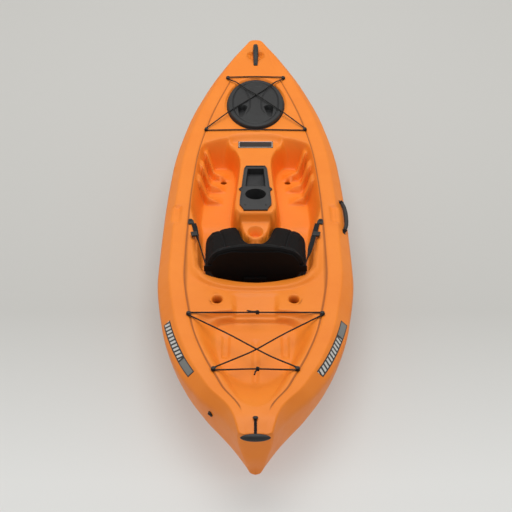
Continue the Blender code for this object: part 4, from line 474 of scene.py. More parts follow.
def bore(circles, place, top, turns, radius, down, stretch=1.0, shift=0.0):
    """Sinks the circles of a round hole, each to its depth and share of the radius, and paints shade on it.
    """
    for turn, depth, reach, painted_darkness in turns:
        for i, j in circles[turn]:
            out = Vector((*(deck[i, j, :2] - place), 0.0))
            out.y /= stretch
            out = out.normalized() * radius * reach
            out.y = out.y * mix(1.0, stretch, reach) - (1 - reach) * shift
            deck[i, j] = Vector((*place, top)) + out + down * depth
            # Painted shade: the hole is darker deeper down.
            painted_shade[deck_from + i, j] = painted_darkness


# The round features of the deck: rod holders, scuppers, the pommel's cup and the dish under the bow handle.
# Each turn of points inside a round hole has its depth, its share of the hole's radius and its painted shade,
# darkest deep in the hole.
ROD_HOLDER, ROD_HOLDER_R, ROD_STRETCH, ROD_SHIFT = (0.147, -0.644), 0.022, 1.45, 0.030
ROD_HOLDER_DEPTH, ROD_HOLDER_TILT = 0.130, math.radians(25)
ROD_TURNS = (
    (3, 0.009, 0.90, 0.10), (2, 0.030, 0.66, 0.55), (1, ROD_HOLDER_DEPTH, 0.60, 1.0),
    (0, ROD_HOLDER_DEPTH, 0.0, 1.0),
)
SCUPPER, SCUPPER_R = (0.143, 0.475), 0.014
SCUPPER_TURNS = ((2, 0.006, 0.97, 0.5), (1, 0.10, 0.95, 0.9), (0, 0.10, 0.0, 0.9))
CUP, CUP_R, CUP_DEPTH, CUP_WALL = (0.0, -0.020), 0.0315, 0.040, 0.008
BOW_DISH, BOW_DISH_R, BOW_DISH_DEPTH, BOW_DISH_WALL = (0.0, 1.3767), 0.045, 0.021, 0.0144
rod_holes, scupper_holes = {}, {}
for side in (1, -1):
    rod_holes[side] = round_out(ROD_HOLDER[0] * side, ROD_HOLDER[1], ROD_HOLDER_R, 4, 6, ROD_STRETCH)
    scupper_holes[side] = round_out(SCUPPER[0] * side, SCUPPER[1], SCUPPER_R, 3)
round_out(*CUP, CUP_R, 5)
round_out(*BOW_DISH, BOW_DISH_R, 4, 3)
deck[..., 2] = deck_height(deck[..., 0], deck[..., 1])
for place, radius, depth, wall in (
    (BOW_DISH, BOW_DISH_R, BOW_DISH_DEPTH, BOW_DISH_WALL), (CUP, CUP_R, CUP_DEPTH, CUP_WALL),
):
    away = np.hypot(deck[..., 0] - place[0], deck[..., 1] - place[1])
    deck[..., 2] -= depth * ease((radius - away) / wall)
tilt = Vector((0.0, math.sin(ROD_HOLDER_TILT), -math.cos(ROD_HOLDER_TILT)))
for side in (1, -1):
    place = np.array((ROD_HOLDER[0] * side, ROD_HOLDER[1]))
    top = float(deck_height(*place))
    bore(rod_holes[side], place, top, ROD_TURNS, ROD_HOLDER_R, tilt, ROD_STRETCH, ROD_SHIFT)
    place = np.array((SCUPPER[0] * side, SCUPPER[1]))
    bore(scupper_holes[side], place, FOOT_FLOOR_Z, SCUPPER_TURNS, SCUPPER_R, Vector((0.0, 0.0, -1.0)))
# Each end turns in to a rounded stem.
for j, y in enumerate(rows):
    for end, nose, square, droop in STEMS:
        depth = abs(y - end) / nose
        if depth < 1:
            full = (1 - (1 - depth) ** square) ** (1 / square)
            ring[:, j, 0] *= full
            centre = ring[:, j, 2].mean()
            ring[:, j, 2] = centre + (ring[:, j, 2] - centre) * mix(1 - droop, 1.0, full)
# The parting groove gets painted shade, as the deep holes do.
for crease, amount in ((deck_from - 1, 0.62), (deck_from, 0.52), (deck_to - 1, 0.52), (deck_to, 0.62)):
    painted_shade[crease] = gate(rows, *GROOVE_ENDS) * amount


def grid_mesh(name, points, closed=True):
    """A mesh over rows of points. Each row may close on itself."""
    across, down = points.shape[:2]
    index = np.arange(across * down).reshape(across, down)
    ahead = np.roll(index, -1, 0) if closed else index[1:]
    here = index if closed else index[:-1]
    faces = np.stack([here[:, :-1], here[:, 1:], ahead[:, 1:], ahead[:, :-1]], -1).reshape(-1, 4)
    mesh = bpy.data.meshes.new(name)
    mesh.from_pydata(points.reshape(-1, 3).tolist(), [], faces.tolist())
    mesh.validate()
    return mesh


def tidy_mesh(mesh, merge=1e-5, smooth=True):
    """Doubles merged, faces turned outwards and shaded smooth."""
    bm = bmesh.new()
    bm.from_mesh(mesh)
    bmesh.ops.remove_doubles(bm, verts=bm.verts, dist=merge)
    bmesh.ops.dissolve_degenerate(bm, edges=bm.edges, dist=1e-6)
    bmesh.ops.recalc_face_normals(bm, faces=bm.faces)
    if bm.calc_volume(signed=True) < 0:
        bmesh.ops.reverse_faces(bm, faces=bm.faces)
    bm.to_mesh(mesh)
    bm.free()
    if smooth:
        mesh.shade_smooth()
    return mesh


def linked(name, data):
    obj = bpy.data.objects.new(name, data)
    bpy.context.scene.collection.objects.link(obj)
    return obj


def made_from(helper):
    """The mesh that an object's modifiers make."""
    return bpy.data.meshes.new_from_object(helper.evaluated_get(bpy.context.evaluated_depsgraph_get()))


def baked(helper):
    """The mesh of a helper object, which goes."""
    made = made_from(helper)
    bpy.data.objects.remove(helper)
    return made


def piece(name, mesh, material, body, slot, *replaced):
    """A finished piece: its finish, the body that it moves with and the nodes that it stands for."""
    obj = linked(name, mesh)
    if material is not None:
        mesh.materials.clear()
        mesh.materials.append(material)
    if body is not None:
        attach(obj, body)
    if replaced:
        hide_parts(*replaced)
    return obj


def node_material(name):
    material = bpy.data.materials.new(name)
    material.use_nodes = True
    return material, material.node_tree, material.node_tree.nodes["Principled BSDF"]


def feed(node, inputs):
    """Gives a node's inputs, by number or name, a value, a socket or the first socket of another node."""
    for key, value in inputs.items():
        spot = node.inputs[key.replace("_", " ") if isinstance(key, str) else key]
        if isinstance(value, bpy.types.Node):
            value = value.outputs[0]
        if isinstance(value, bpy.types.NodeSocket):
            node.id_data.links.new(value, spot)
        else:
            spot.default_value = value


def add(tree, kind, *ordered, **named):
    """A new node: small names are its settings, the rest are its inputs, in order or by name."""
    node = tree.nodes.new(kind)
    for key, value in named.items():
        if key[0].islower():
            setattr(node, key, value)
    feed(node, dict(enumerate(ordered)) | {key: value for key, value in named.items() if key[0].isupper()})
    return node


def texture(tree, kind, scale, **values):
    """A texture node that reads the piece's own coordinates at a scale."""
    coordinates = add(tree, "ShaderNodeTexCoord")
    mapping = add(tree, "ShaderNodeMapping", Vector=coordinates.outputs["Object"], Scale=scale)
    return add(tree, kind, Vector=mapping, **values)


def noise(tree, scale, detail, rough=0.6, stretch=(1, 1, 1)):
    return texture(tree, "ShaderNodeTexNoise", stretch, Scale=scale, Detail=detail, Roughness=rough)


def bump(tree, shader, height, strength, distance, **before):
    node = add(tree, "ShaderNodeBump", Strength=strength, Distance=distance, Height=height, **before)
    feed(shader, {"Normal": node})
    return node


def ramp(tree, source, stops):
    """Colours or greys read off a value, from stops of (position, colour)."""
    node = add(tree, "ShaderNodeValToRGB", source)
    elements = node.color_ramp.elements
    while len(elements) < len(stops):
        elements.new(0.5)
    for element, (position, colour) in zip(elements, stops):
        element.position = position
        element.color = (*(colour if isinstance(colour, tuple) else (colour,) * 3), 1)
    return node


def attribute(tree, name):
    return add(tree, "ShaderNodeAttribute", attribute_name=name).outputs["Fac"]


orange, tree, shader = node_material("moulded_orange")
tone = ramp(tree, noise(tree, 5.0, 4.0), [(0.30, (0.900, 0.232, 0.016)), (0.70, (0.945, 0.262, 0.021))])
# Painted shade: the tone is mixed towards dark brown where shade is painted on the hull.
darker = add(tree, "ShaderNodeMix", data_type="RGBA", Factor=attribute(tree, "painted_shade"), A=tone,
             B=(0.090, 0.014, 0.002, 1))
waves = noise(tree, 22.0, 2.0, 0.5)
feed(shader, {
    "Base Color": darker.outputs["Result"], "Roughness": ramp(tree, waves, [(0.3, 0.42), (0.7, 0.50)]),
    "Specular IOR Level": 0.32,
})
swell = bump(tree, shader, waves, 0.10, 0.004)
bump(tree, shader, noise(tree, 520.0, 3.0), 0.12, 0.0004, Normal=swell)

skin = grid_mesh("moulded_hull", ring)
skin.attributes.new("painted_shade", "FLOAT", "POINT").data.foreach_set("value", painted_shade.ravel())
skin = tidy_mesh(skin)
piece("moulded_hull", skin, orange, "hull", "hull", "hull")


# What the fittings are made with: frames, smooth paths, sweeps, turned pieces and rounded edges.
def frame_at(origin, normal, ahead=(0.0, 1.0, 0.0)):
    z = Vector(normal).normalized()
    y = Vector(ahead)
    y = (y - z * y.dot(z)).normalized()
    matrix = Matrix((y.cross(z), y, z)).transposed().to_4x4()
    matrix.translation = Vector(origin)
    return matrix


def smooth_path(points, count):
    """A smooth curve through points, sampled at a number of even places."""
    points = [Vector(p) for p in points]
    points = [points[0] * 2 - points[1]] + points + [points[-1] * 2 - points[-2]]
    dense = []
    for a, b, c, d in zip(points, points[1:], points[2:], points[3:]):
        for k in range(16):
            t = k / 16
            here = b * 2 + (c - a) * t + (a * 2 - b * 5 + c * 4 - d) * t**2
            dense.append((here + (b * 3 - a - c * 3 + d) * t**3) / 2)
    dense.append(points[-2])
    run = [0.0]
    for a, b in zip(dense, dense[1:]):
        run.append(run[-1] + (b - a).length)
    at = np.linspace(0, run[-1], count)
    table = np.array([tuple(p) for p in dense])
    return [Vector([np.interp(s, run, table[:, k]) for k in range(3)]) for s in at]


def sweep(name, points, section, across=None, scale=None):
    """A skin along points. Its section of (sideways, up) turns little, or lies across a vector."""
    points = [Vector(p) for p in points]
    count = len(points)
    rings = []
    side = None
    for i, point in enumerate(points):
        along_it = points[min(i + 1, count - 1)] - points[max(i - 1, 0)]
        along_it.normalize()
        if across is not None:
            side = Vector(across[i] if isinstance(across, list) else across)
        elif side is None:
            side = along_it.cross(Vector((0.02, 0.0, 1.0)))
        side = (side - along_it * side.dot(along_it)).normalized()
        up = side.cross(along_it)
        size = 1.0 if scale is None else scale[i]
        rings.append([tuple(point + (side * u + up * v) * size) for u, v in section])
    for end, place in ((0, points[0]), (-1, points[-1])):
        cap = [tuple(place + (Vector(p) - place) * 0.6) for p in rings[end]]
        centre = [tuple(place)] * len(section)
        rings = [centre, cap] + rings if end == 0 else rings + [cap, centre]
    return tidy_mesh(grid_mesh(name, np.array(rings).transpose(1, 0, 2)))


def round_section(radius, sides):
    turn = circle(sides)
    return [(radius * math.cos(t), radius * math.sin(t)) for t in turn]


def band_section(width, thick):
    """A flat band's section with rounded edges."""
    out = []
    for cx, start in ((1, 0), (-1, 90), (-1, 180), (1, 270)):
        for a in np.radians((start, start + 45, start + 90)):
            out.append((cx * (width - thick) / 2 + thick / 2 * math.cos(a), thick / 2 * math.sin(a)))
    return out


def turned(name, profile, frame, sides=40):
    """A turned piece from its profile of (radius, height)."""
    turn = circle(sides)
    grid = np.array([[(r * math.cos(t), r * math.sin(t), h) for r, h in profile] for t in turn])
    mesh = grid_mesh(name, grid)
    mesh.transform(frame)
    return tidy_mesh(mesh)


def filleted(points, radius, steps=3, closed=False):
    """A polyline with each corner rounded to at most a radius."""
    points = [np.array(p, float) for p in points]
    count = len(points)
    out = []
    for i, b in enumerate(points):
        if not closed and i in (0, count - 1):
            out.append(b)
            continue
        back, on = points[i - 1] - b, points[(i + 1) % count] - b
        cut = min(radius, 0.48 * np.linalg.norm(back), 0.48 * np.linalg.norm(on))
        start, end = b + back / np.linalg.norm(back) * cut, b + on / np.linalg.norm(on) * cut
        out += [bend(start, b, end, k / steps) for k in range(steps + 1)]
    return out


body_of = {node: body for body, names in frame["record"]["behaviour"]["bodies"].items() for node in names}


def rounded_node(name, material, slot, width=0.0012, segments=3):
    """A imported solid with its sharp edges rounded, standing for the node of the same name."""
    mesh = nodes[name].data.copy()
    mesh.transform(nodes[name].matrix_world)
    tidy_mesh(mesh, 2e-5, False)
    helper = linked(name + "_helper", mesh)
    edge = helper.modifiers.new("edge", "BEVEL")
    edge.width = width
    edge.segments = segments
    edge.limit_method = "ANGLE"
    edge.angle_limit = math.radians(28)
    edge.harden_normals = False
    helper.modifiers.new("weighted", "WEIGHTED_NORMAL").keep_sharp = True
    mesh.shade_smooth()
    return piece("fine_" + name, baked(helper), material, body_of[name], slot, name)


def growing_tree(name, **sockets):
    """A Geometry Nodes tree with its named inputs. Returns the tree and the outputs of its input node."""
    tree = bpy.data.node_groups.new(name, "GeometryNodeTree")
    for label, kind in {"Geometry": "Geometry", **sockets}.items():
        tree.interface.new_socket(label, in_out="INPUT", socket_type="NodeSocket" + kind)
    tree.interface.new_socket("Geometry", in_out="OUTPUT", socket_type="NodeSocketGeometry")
    return tree, tree.nodes.new("NodeGroupInput").outputs


def finish_tree(tree, grown_from, finish):
    """The end of each tree: instances made real, smooth shading and the finish."""
    real = add(tree, "GeometryNodeRealizeInstances", grown_from)
    smooth = add(tree, "GeometryNodeSetShadeSmooth", real)
    coat = add(tree, "GeometryNodeSetMaterial", smooth, Material=finish)
    add(tree, "NodeGroupOutput", coat)


def grown(name, data, tree, **values):
    """The plain mesh that a tree grows from a mesh, with the tree's inputs set."""
    helper = linked(name + "_helper", data)
    modifier = helper.modifiers.new("grown", "NODES")
    modifier.node_group = tree
    for socket in tree.interface.items_tree:
        if socket.in_out == "INPUT" and socket.name in values:
            modifier[socket.identifier] = values[socket.name]
    return baked(helper)


def line_mesh(name, points, closed=False):
    """A mesh of edges along points, for the trees that follow a path."""
    links = [(i, i + 1) for i in range(len(points) - 1)] + [(len(points) - 1, 0)] * closed
    mesh = bpy.data.meshes.new(name)
    mesh.from_pydata([tuple(p) for p in points], links, [])
    return mesh


# Round cord along a path.
cord_tree, given = growing_tree("cord_along", Radius="Float", Sides="Int", Finish="Material")
path = add(cord_tree, "GeometryNodeMeshToCurve", given["Geometry"])
section = add(cord_tree, "GeometryNodeCurvePrimitiveCircle", Resolution=given["Sides"],
              Radius=given["Radius"])
cord_skin = add(cord_tree, "GeometryNodeCurveToMesh", Curve=path, Profile_Curve=section, Fill_Caps=True)
finish_tree(cord_tree, cord_skin, given["Finish"])

# Stitches: short rounded threads at an even pitch along a seam.
stitch_tree, given = growing_tree(
    "stitches_along", Pitch="Float", Thread="Float", Stretch="Vector", Finish="Material",
)
path = add(stitch_tree, "GeometryNodeMeshToCurve", given["Geometry"])
places = add(stitch_tree, "GeometryNodeCurveToPoints", mode="LENGTH", Curve=path, Length=given["Pitch"])
bead = add(stitch_tree, "GeometryNodeMeshUVSphere", Segments=8, Rings=5, Radius=given["Thread"])
drawn_out = add(stitch_tree, "GeometryNodeTransform", Geometry=bead, Scale=given["Stretch"])
set_on = add(stitch_tree, "GeometryNodeInstanceOnPoints", Points=places, Instance=drawn_out,
             Rotation=places.outputs["Rotation"])
finish_tree(stitch_tree, set_on, given["Finish"])

# Screws: one head set on every place, turned to the place's own aim.
screw_tree, given = growing_tree("screws_at", Head="Object", Finish="Material")
head = add(screw_tree, "GeometryNodeObjectInfo", Object=given["Head"])
aim = add(screw_tree, "GeometryNodeInputNamedAttribute", data_type="FLOAT_VECTOR", Name="aim")
facing = add(screw_tree, "FunctionNodeEulerToRotation", aim.outputs["Attribute"])
set_on = add(screw_tree, "GeometryNodeInstanceOnPoints", Points=given["Geometry"],
             Instance=head.outputs["Geometry"], Rotation=facing)
finish_tree(screw_tree, set_on, given["Finish"])


# Finishes of the fittings. Each has the grain of its own process: moulded nylon, rubber, cloth, webbing.
def moulded(name, low, high, rough, grain_scale=900.0, depth=0.00025):
    """Moulded plastic with a fine spark-eroded grain and faint cloudiness."""
    material, tree, shader = node_material(name)
    cloud = noise(tree, 35.0, 3.0)
    tone = ramp(tree, cloud, [(0.3, low), (0.7, high)])
    gloss = ramp(tree, cloud, [(0.3, rough - 0.05), (0.7, rough + 0.05)])
    feed(shader, {"Base Color": tone, "Roughness": gloss})
    bump(tree, shader, noise(tree, grain_scale, 2.0, 0.7), 0.5, depth)
    return material


nylon = moulded("black_nylon", 0.006, 0.011, 0.46)
grey_tray = moulded("grey_polyethylene", (0.020, 0.020, 0.021), (0.031, 0.031, 0.032), 0.56, 650.0, 0.0004)
rubber = moulded("black_rubber", (0.011, 0.011, 0.012), (0.020, 0.021, 0.022), 0.58, 500.0, 0.0003)
foam = moulded("closed_cell_foam", (0.70, 0.70, 0.67), (0.82, 0.82, 0.79), 0.85, 260.0, 0.0012)
thread = moulded("sewing_thread", (0.030, 0.030, 0.032), (0.050, 0.050, 0.052), 0.6)
pale = moulded("pale_print", (0.66, 0.65, 0.62), (0.74, 0.73, 0.70), 0.5)


def woven(name, low, high, scale, depth, sheen):
    """Cloth of crossed threads: two wave patterns, one over the other, with fibre fuzz."""
    material, tree, shader = node_material(name)
    warp, weft = [
        texture(tree, "ShaderNodeTexWave", (1, 1, flat), bands_direction=axis, Scale=scale, Distortion=0.6,
                Detail=1.0)
        for flat, axis in ((0.4, "X"), (1, "Y"))
    ]
    crossed = add(tree, "ShaderNodeMath", warp.outputs["Fac"], weft.outputs["Fac"], operation="MAXIMUM")
    both = add(tree, "ShaderNodeMath", crossed, noise(tree, 28.0, 5.0, 0.65), operation="MULTIPLY")
    tone = ramp(tree, both, [(0.1, low), (0.7, high)])
    feed(shader, {
        "Base Color": tone, "Roughness": 0.88, "Specular IOR Level": 0.25, "Sheen Weight": sheen,
        "Sheen Roughness": 0.5, "Sheen Tint": (0.35, 0.36, 0.38, 1),
    })
    bump(tree, shader, crossed, 0.6, depth)
    return material


cloth = woven("seat_cloth", 0.0015, 0.0050, 210.0, 0.0005, 0.02)
back_cloth = woven("backrest_cloth", 0.001, 0.004, 260.0, 0.0004, 0.0)
webbing = woven("black_webbing", (0.005, 0.005, 0.006), (0.018, 0.018, 0.020), 420.0, 0.0004, 0.05)

braid, tree, shader = node_material("braided_cord")
spiral = texture(tree, "ShaderNodeTexChecker", (900.0, 900.0, 900.0), Scale=1.0,
                 Color1=(0.003, 0.003, 0.003, 1), Color2=(0.009, 0.008, 0.008, 1))
feed(shader, {"Base Color": spiral, "Roughness": 0.7})
bump(tree, shader, spiral.outputs["Fac"], 0.6, 0.0003)

steel, tree, shader = node_material("blackened_stainless_steel")
brushed = noise(tree, 6.0, 3.0, 0.5, (300.0, 30.0, 300.0))
tone = ramp(tree, brushed, [(0.3, 0.040), (0.7, (0.065, 0.064, 0.062))])
gloss = ramp(tree, brushed, [(0.3, 0.34), (0.7, 0.46)])
feed(shader, {"Base Color": tone, "Roughness": gloss, "Metallic": 1.0})


SCREW_R, SCREW_T = 0.0038, 0.0018
screw_places, screw_nodes = [], []


def screw_head(radius, height):
    """A pan head with a cross recess, with its foot at the origin."""
    turn = circle(48)
    steps = np.array([0.0, 0.12, 0.22, 0.32, 0.42, 0.50, 0.62, 0.78, 0.90, 0.97, 1.0, 1.0])
    tops = height * np.sqrt(np.clip(1 - (steps * 0.93) ** 2.6, 0, 1))
    tops[-1] = -0.0008
    x = radius * np.outer(np.cos(turn), steps)
    y = radius * np.outer(np.sin(turn), steps)
    cross = ease((0.13 * radius - np.minimum(np.abs(x), np.abs(y))) / (0.06 * radius))
    cross = cross * ease((0.55 - steps) / 0.1)[None]
    z = tops[None] - cross * height * 0.7
    return tidy_mesh(grid_mesh("screw_head", np.stack([x, y, z], 2)), 1e-6)


def screw_at(place, *stood_for):
    """Notes a screw of the hull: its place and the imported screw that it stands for."""
    screw_places.append(place)
    screw_nodes.extend(stood_for)


def pinned_frame(node):
    """The frame at the top of a packed screw: its long axis, with its head end up."""
    verts = np.array([nodes[node].matrix_world @ v.co for v in nodes[node].data.vertices])
    centre = verts.mean(0)
    axis = np.linalg.svd(verts - centre)[2][0]
    reach = (verts - centre) @ axis
    radius = np.linalg.norm(verts - centre - np.outer(reach, axis), axis=1)
    if radius[reach > 0].max() < radius[reach < 0].max():
        axis, reach = -axis, -reach
    ahead = (0.0, 1.0, 0.0) if abs(axis[1]) < 0.9 else (1.0, 0.0, 0.0)
    return frame_at(centre + axis * reach.max(), axis, ahead)


def packed_screws(pattern, count):
    """Notes the hull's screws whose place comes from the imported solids."""
    for number in range(1, count + 1):
        node = pattern % number
        screw_at(pinned_frame(node) @ Matrix.Translation((0, 0, -SCREW_T)), node)


def mirrored(line):
    """A half line on from its middle, with its first value turned about."""
    return line + [(-first, *rest) for first, *rest in line[-2::-1]]


# Hatch. A moulded rubber lid snaps over a screwed rim on a flat that is sunk into the fore deck.
HATCH_FRAME = frame_at(HATCH_PLACE, HATCH_NORMAL)
LID_SEMI, LID_TOP, LID_UNDER, LID_SKIRT, LID_THICK = (0.132, 0.219), 0.0181, 0.0136, 0.0015, 0.0035
LID_ROUND, LID_ROUND_DROP, LID_GROOVE_IN = 0.010, 0.009, 0.0265
BAND_WALL, WAIST, WAIST_GROOVE, WAIST_GROOVE_RUN = 0.004, 0.027, 0.0036, 0.0028
PULL_X, PULL_TOP, PULL_LOW, PULL_HALF, PULL_SINK = 0.0595, -0.030, -0.136, 0.0230, 0.030
turn = circle(288)
share = np.concatenate([np.linspace(0.0, 0.78, 46, endpoint=False), np.linspace(0.78, 1.0, 30)])
x = LID_SEMI[0] * np.outer(np.cos(turn), share)
y = LID_SEMI[1] * np.outer(np.sin(turn), share)
beside = np.abs(x)
inset = (1 - share)[None] * np.hypot(LID_SEMI[0] * np.cos(turn), LID_SEMI[1] * np.sin(turn))[:, None]
roll = np.sqrt(np.clip(1 - np.clip((LID_ROUND - inset) / LID_ROUND, 0, 1) ** 2, 0, 1))
z = LID_TOP - LID_ROUND_DROP * (1 - roll) - 0.0016 * gate(inset, (0.019, 0.007))
z += 0.0010 * gate(inset, (0.04, 0.06)) - 0.0034 * np.exp(-(((inset - LID_GROOVE_IN) / 0.0026) ** 2))
# Two long grooves, waisted like an hourglass, set off the middle band of the lid.
waist = WAIST + 0.030 * np.clip((y - 0.005) / 0.13, 0, 1) ** 1.7
waist += 0.018 * np.clip((-0.035 - y) / 0.07, 0, 1) ** 2
groove = np.exp(-(((beside - waist) / WAIST_GROOVE_RUN) ** 2)) * gate(y, (0.128, -0.012), (-0.115, 0.02))
z -= WAIST_GROOVE * groove
z += 0.0007 * gate(beside - waist, (0.0, -BAND_WALL)) * gate(y, (0.125, -0.02), (-0.16, 0.05))
# Finger pulls: deep under the lip at the front and ramped up aft.
down = np.clip((PULL_TOP - y) / (PULL_TOP - PULL_LOW), 0, 1)
half = PULL_HALF * (1 - 0.72 * down**1.3)
lip = PULL_TOP - 0.012 + 0.020 * (1 - ((beside - PULL_X) / PULL_HALF) ** 2)
pull = ease((half - np.abs(beside - PULL_X - 0.008 * down)) / BAND_WALL) * ease((lip - y) / BAND_WALL)
z -= PULL_SINK * pull * gate(y, (PULL_LOW, 0.012)) * (1 - 0.85 * down)
# A small raised tab near the front.
tab = gate(beside, (0.034, -0.003)) * gate(y, (0.142, 0.003), (0.176, -0.003))
z += 0.0012 * tab * (1 - gate(beside, (0.028, -0.003)) * gate(y, (0.153, -0.003)))
lip = []
for out, height in ((0.0, 0.006), (0.0, LID_SKIRT + 0.0006), (-0.0008, LID_SKIRT), (-0.003, LID_SKIRT),
                    (-0.0034, 0.004), (-0.004, LID_UNDER - 0.001), (-0.006, LID_UNDER)):
    semi = (LID_SEMI[0] + out, LID_SEMI[1] + out)
    lip.append(np.stack([semi[0] * np.cos(turn), semi[1] * np.sin(turn), np.full_like(turn, height)], 1))
top = np.stack([x, y, z], 2)
under = np.stack([x, y, np.minimum(z - LID_THICK, LID_UNDER)], 2)[:, ::-1][:, share[::-1] < 0.97]
mesh = grid_mesh("hatch_lid_moulding", np.concatenate([top, np.stack(lip, 1), under], 1))
mesh.transform(HATCH_FRAME)
piece("hatch_lid_moulding", tidy_mesh(mesh), rubber, "hatch_lid", "rubber", "hatch_lid")
for node in ("hatch_gasket", "drain_plug_seal"):
    nodes[node].data.materials.clear()
    nodes[node].data.materials.append(rubber)
rounded_node("hatch_rim", nylon, "black_plastic", 0.0008, 2)
packed_screws("hatch_rim_screw_%d", 6)

# Bow handle. A solid rubber grip on two screwed feet, with a dish below it for the fingers.
# Its line is (along, height, half-breadth, half-thickness), to the middle.
HANDLE_FRAME = frame_at((0.0, 1.3767, 0.3416), (0.0, -0.1137, 0.9935))
HANDLE_LINE = [
    (-0.097, 0.0034, 0.0078, 0.0028), (-0.093, 0.0036, 0.01, 0.0036), (-0.08, 0.004, 0.0104, 0.0038),
    (-0.073, 0.0085, 0.0106, 0.0042), (-0.06, 0.0152, 0.0112, 0.0064), (-0.033, 0.0235, 0.0122, 0.0085),
    (0.0, 0.0262, 0.0128, 0.0095),
]
RIB_PITCH, RIB_DEPTH, RIBS_HALF, SQUARENESS, HANDLE_SCREW = 0.0060, 0.05, 0.045, 2.6, (0.08706, 0.0073)
HANDLE_ROWS, HANDLE_SIDES, HANDLE_END = 61, 28, 0.0003
HANDLE_LINE = mirrored(HANDLE_LINE)
at = np.linspace(HANDLE_LINE[0][0], HANDLE_LINE[-1][0], HANDLE_ROWS)
turn = circle(HANDLE_SIDES)
height, wide, tall = (along(HANDLE_LINE, at, k)[:, None] for k in (1, 2, 3))
ribs = 1 - RIB_DEPTH * ((np.cos(at / RIB_PITCH * 2 * math.pi) > 0.55) & (np.abs(at) < RIBS_HALF))[:, None]
cos, sin = np.cos(turn)[None], np.sin(turn)[None]
square = (np.abs(cos) ** SQUARENESS + np.abs(sin) ** SQUARENESS) ** (-1 / SQUARENESS)
lengthwise = np.broadcast_to(at[:, None], (HANDLE_ROWS, HANDLE_SIDES))
grid = np.stack([wide * ribs * cos * square, lengthwise, height + tall * ribs * sin * square], 2)
ends = [np.repeat(grid[row].mean(0)[None, None], HANDLE_SIDES, 1) for row in (0, -1)]
ends[0][..., 1] -= HANDLE_END
ends[1][..., 1] += HANDLE_END
mesh = grid_mesh("bow_handle_grip", np.concatenate([ends[0], grid, ends[1]], 0).transpose(1, 0, 2))
mesh.transform(HANDLE_FRAME)
piece("bow_handle_grip", tidy_mesh(mesh), rubber, "hull", "rubber", "bow_handle")
for number, side in ((1, -1), (2, 1)):
    place = HANDLE_FRAME @ Matrix.Translation((0.0, side * HANDLE_SCREW[0], HANDLE_SCREW[1]))
    screw_at(place, f"bow_handle_screw_{number}")

# Side handle. A bail that bows out between two tabs, ribbed where the hand takes it.
# Its line is (along, share of the bow, radius), to the middle.
SIDE_FRAME = Matrix((
    (0.7138, -0.0174, 0.7001, 0.3681), (0.0153, 0.9998, 0.0092, 0.0201), (-0.7002, 0.0041, 0.7140, 0.2335),
    (0.0, 0.0, 0.0, 1.0),
))
BAIL = [
    (-0.1175, 0.0, 0.0034), (-0.1075, 0.0, 0.0034), (-0.1055, 0.02, 0.0058), (-0.09, 0.42, 0.0084),
    (-0.062, 0.82, 0.0086), (-0.031, 0.97, 0.009), (0.0, 1.0, 0.0092),
]
BAIL_OUT, BAIL_UP, BAIL_PITCH, BAIL_RIB, BAIL_RIBS_HALF = 0.009, 0.007, 0.0075, 0.07, 0.065
BAIL = mirrored(BAIL)
at = np.linspace(BAIL[0][0], BAIL[-1][0], 97)
bow, thick = along(BAIL, at, 1), along(BAIL, at, 2)
thick = thick * (1 - BAIL_RIB * (np.cos(at / BAIL_PITCH * 2 * math.pi) > 0.4) * (np.abs(at) < BAIL_RIBS_HALF))
line = [SIDE_FRAME @ Vector((BAIL_OUT * b, y, BAIL_UP * b)) for y, b in zip(at, bow)]
mesh = sweep("side_handle_bail", line, round_section(1.0, 20), scale=thick)
piece("side_handle_bail", mesh, rubber, "side_handle", "rubber", "side_handle_grip")
for number in (1, 2):
    rounded_node(f"side_handle_tab_{number}", nylon, "black_plastic", 0.0014)
packed_screws("side_handle_screw_%d", 2)

# Stern toggle. A turned rubber spindle hangs on a webbing loop from a screw through a grommet.
TOGGLE_AXIS, TOGGLE_HALF, TOGGLE_R, LOOP_R = (-1.5115, 0.283), 0.052, 0.0135, 0.0093
EYE_Y, STRAP_LIFT, STRAP_WIDTH, STRAP_THICK = -1.437, 0.002, 0.0098, 0.0024
reach = np.sin(np.linspace(-math.pi / 2, math.pi / 2, 41))
profile = [(TOGGLE_R * (1 - abs(t) ** 2.2) ** 0.62, TOGGLE_HALF * t) for t in reach]
hub = Vector((0.0, *TOGGLE_AXIS))
mesh = turned("stern_toggle_spindle", profile, frame_at(hub, (1.0, 0.0, 0.0)), 48)
piece("stern_toggle_spindle", mesh, rubber, "stern_toggle", "rubber", "stern_toggle_grip")
eye = Vector((0.0, EYE_Y, float(deck_z(EYE_Y)) + STRAP_LIFT))
line = [eye + Vector((0.0, 0.009, 0.0))]
line += [Vector((0.0, y, float(deck_z(y)) + STRAP_LIFT)) for y in np.linspace(-1.434, STERN_END + 0.002, 7)]
for angle in np.radians((88, 130, 175, 220, 265, 310, 355, 400)):
    line.append(hub + Vector((0.0, math.cos(angle), math.sin(angle))) * LOOP_R)
section = band_section(STRAP_WIDTH, STRAP_THICK)
mesh = sweep("stern_toggle_loop", smooth_path(line, 90), section, across=(1.0, 0.0, 0.0))
loop = piece("stern_toggle_loop", mesh, webbing, None, "webbing", "stern_toggle_strap")
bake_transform(loop)
GROMMET = [(0.0, 0.0), (0.0092, 0.0), (0.0095, 0.0006), (0.0088, 0.0024), (0.0060, 0.0028), (0.0, 0.0024)]
grommet = frame_at(eye + Vector((0.0, 0.0, 0.0016)), (0.0, 0.2, 0.98))
mesh = turned("stern_toggle_washer", GROMMET, grommet)
piece("stern_toggle_washer", mesh, nylon, "hull", "black_plastic", "stern_toggle_button")
screw_at(grommet @ Matrix.Translation((0, 0, GROMMET[-1][1])))

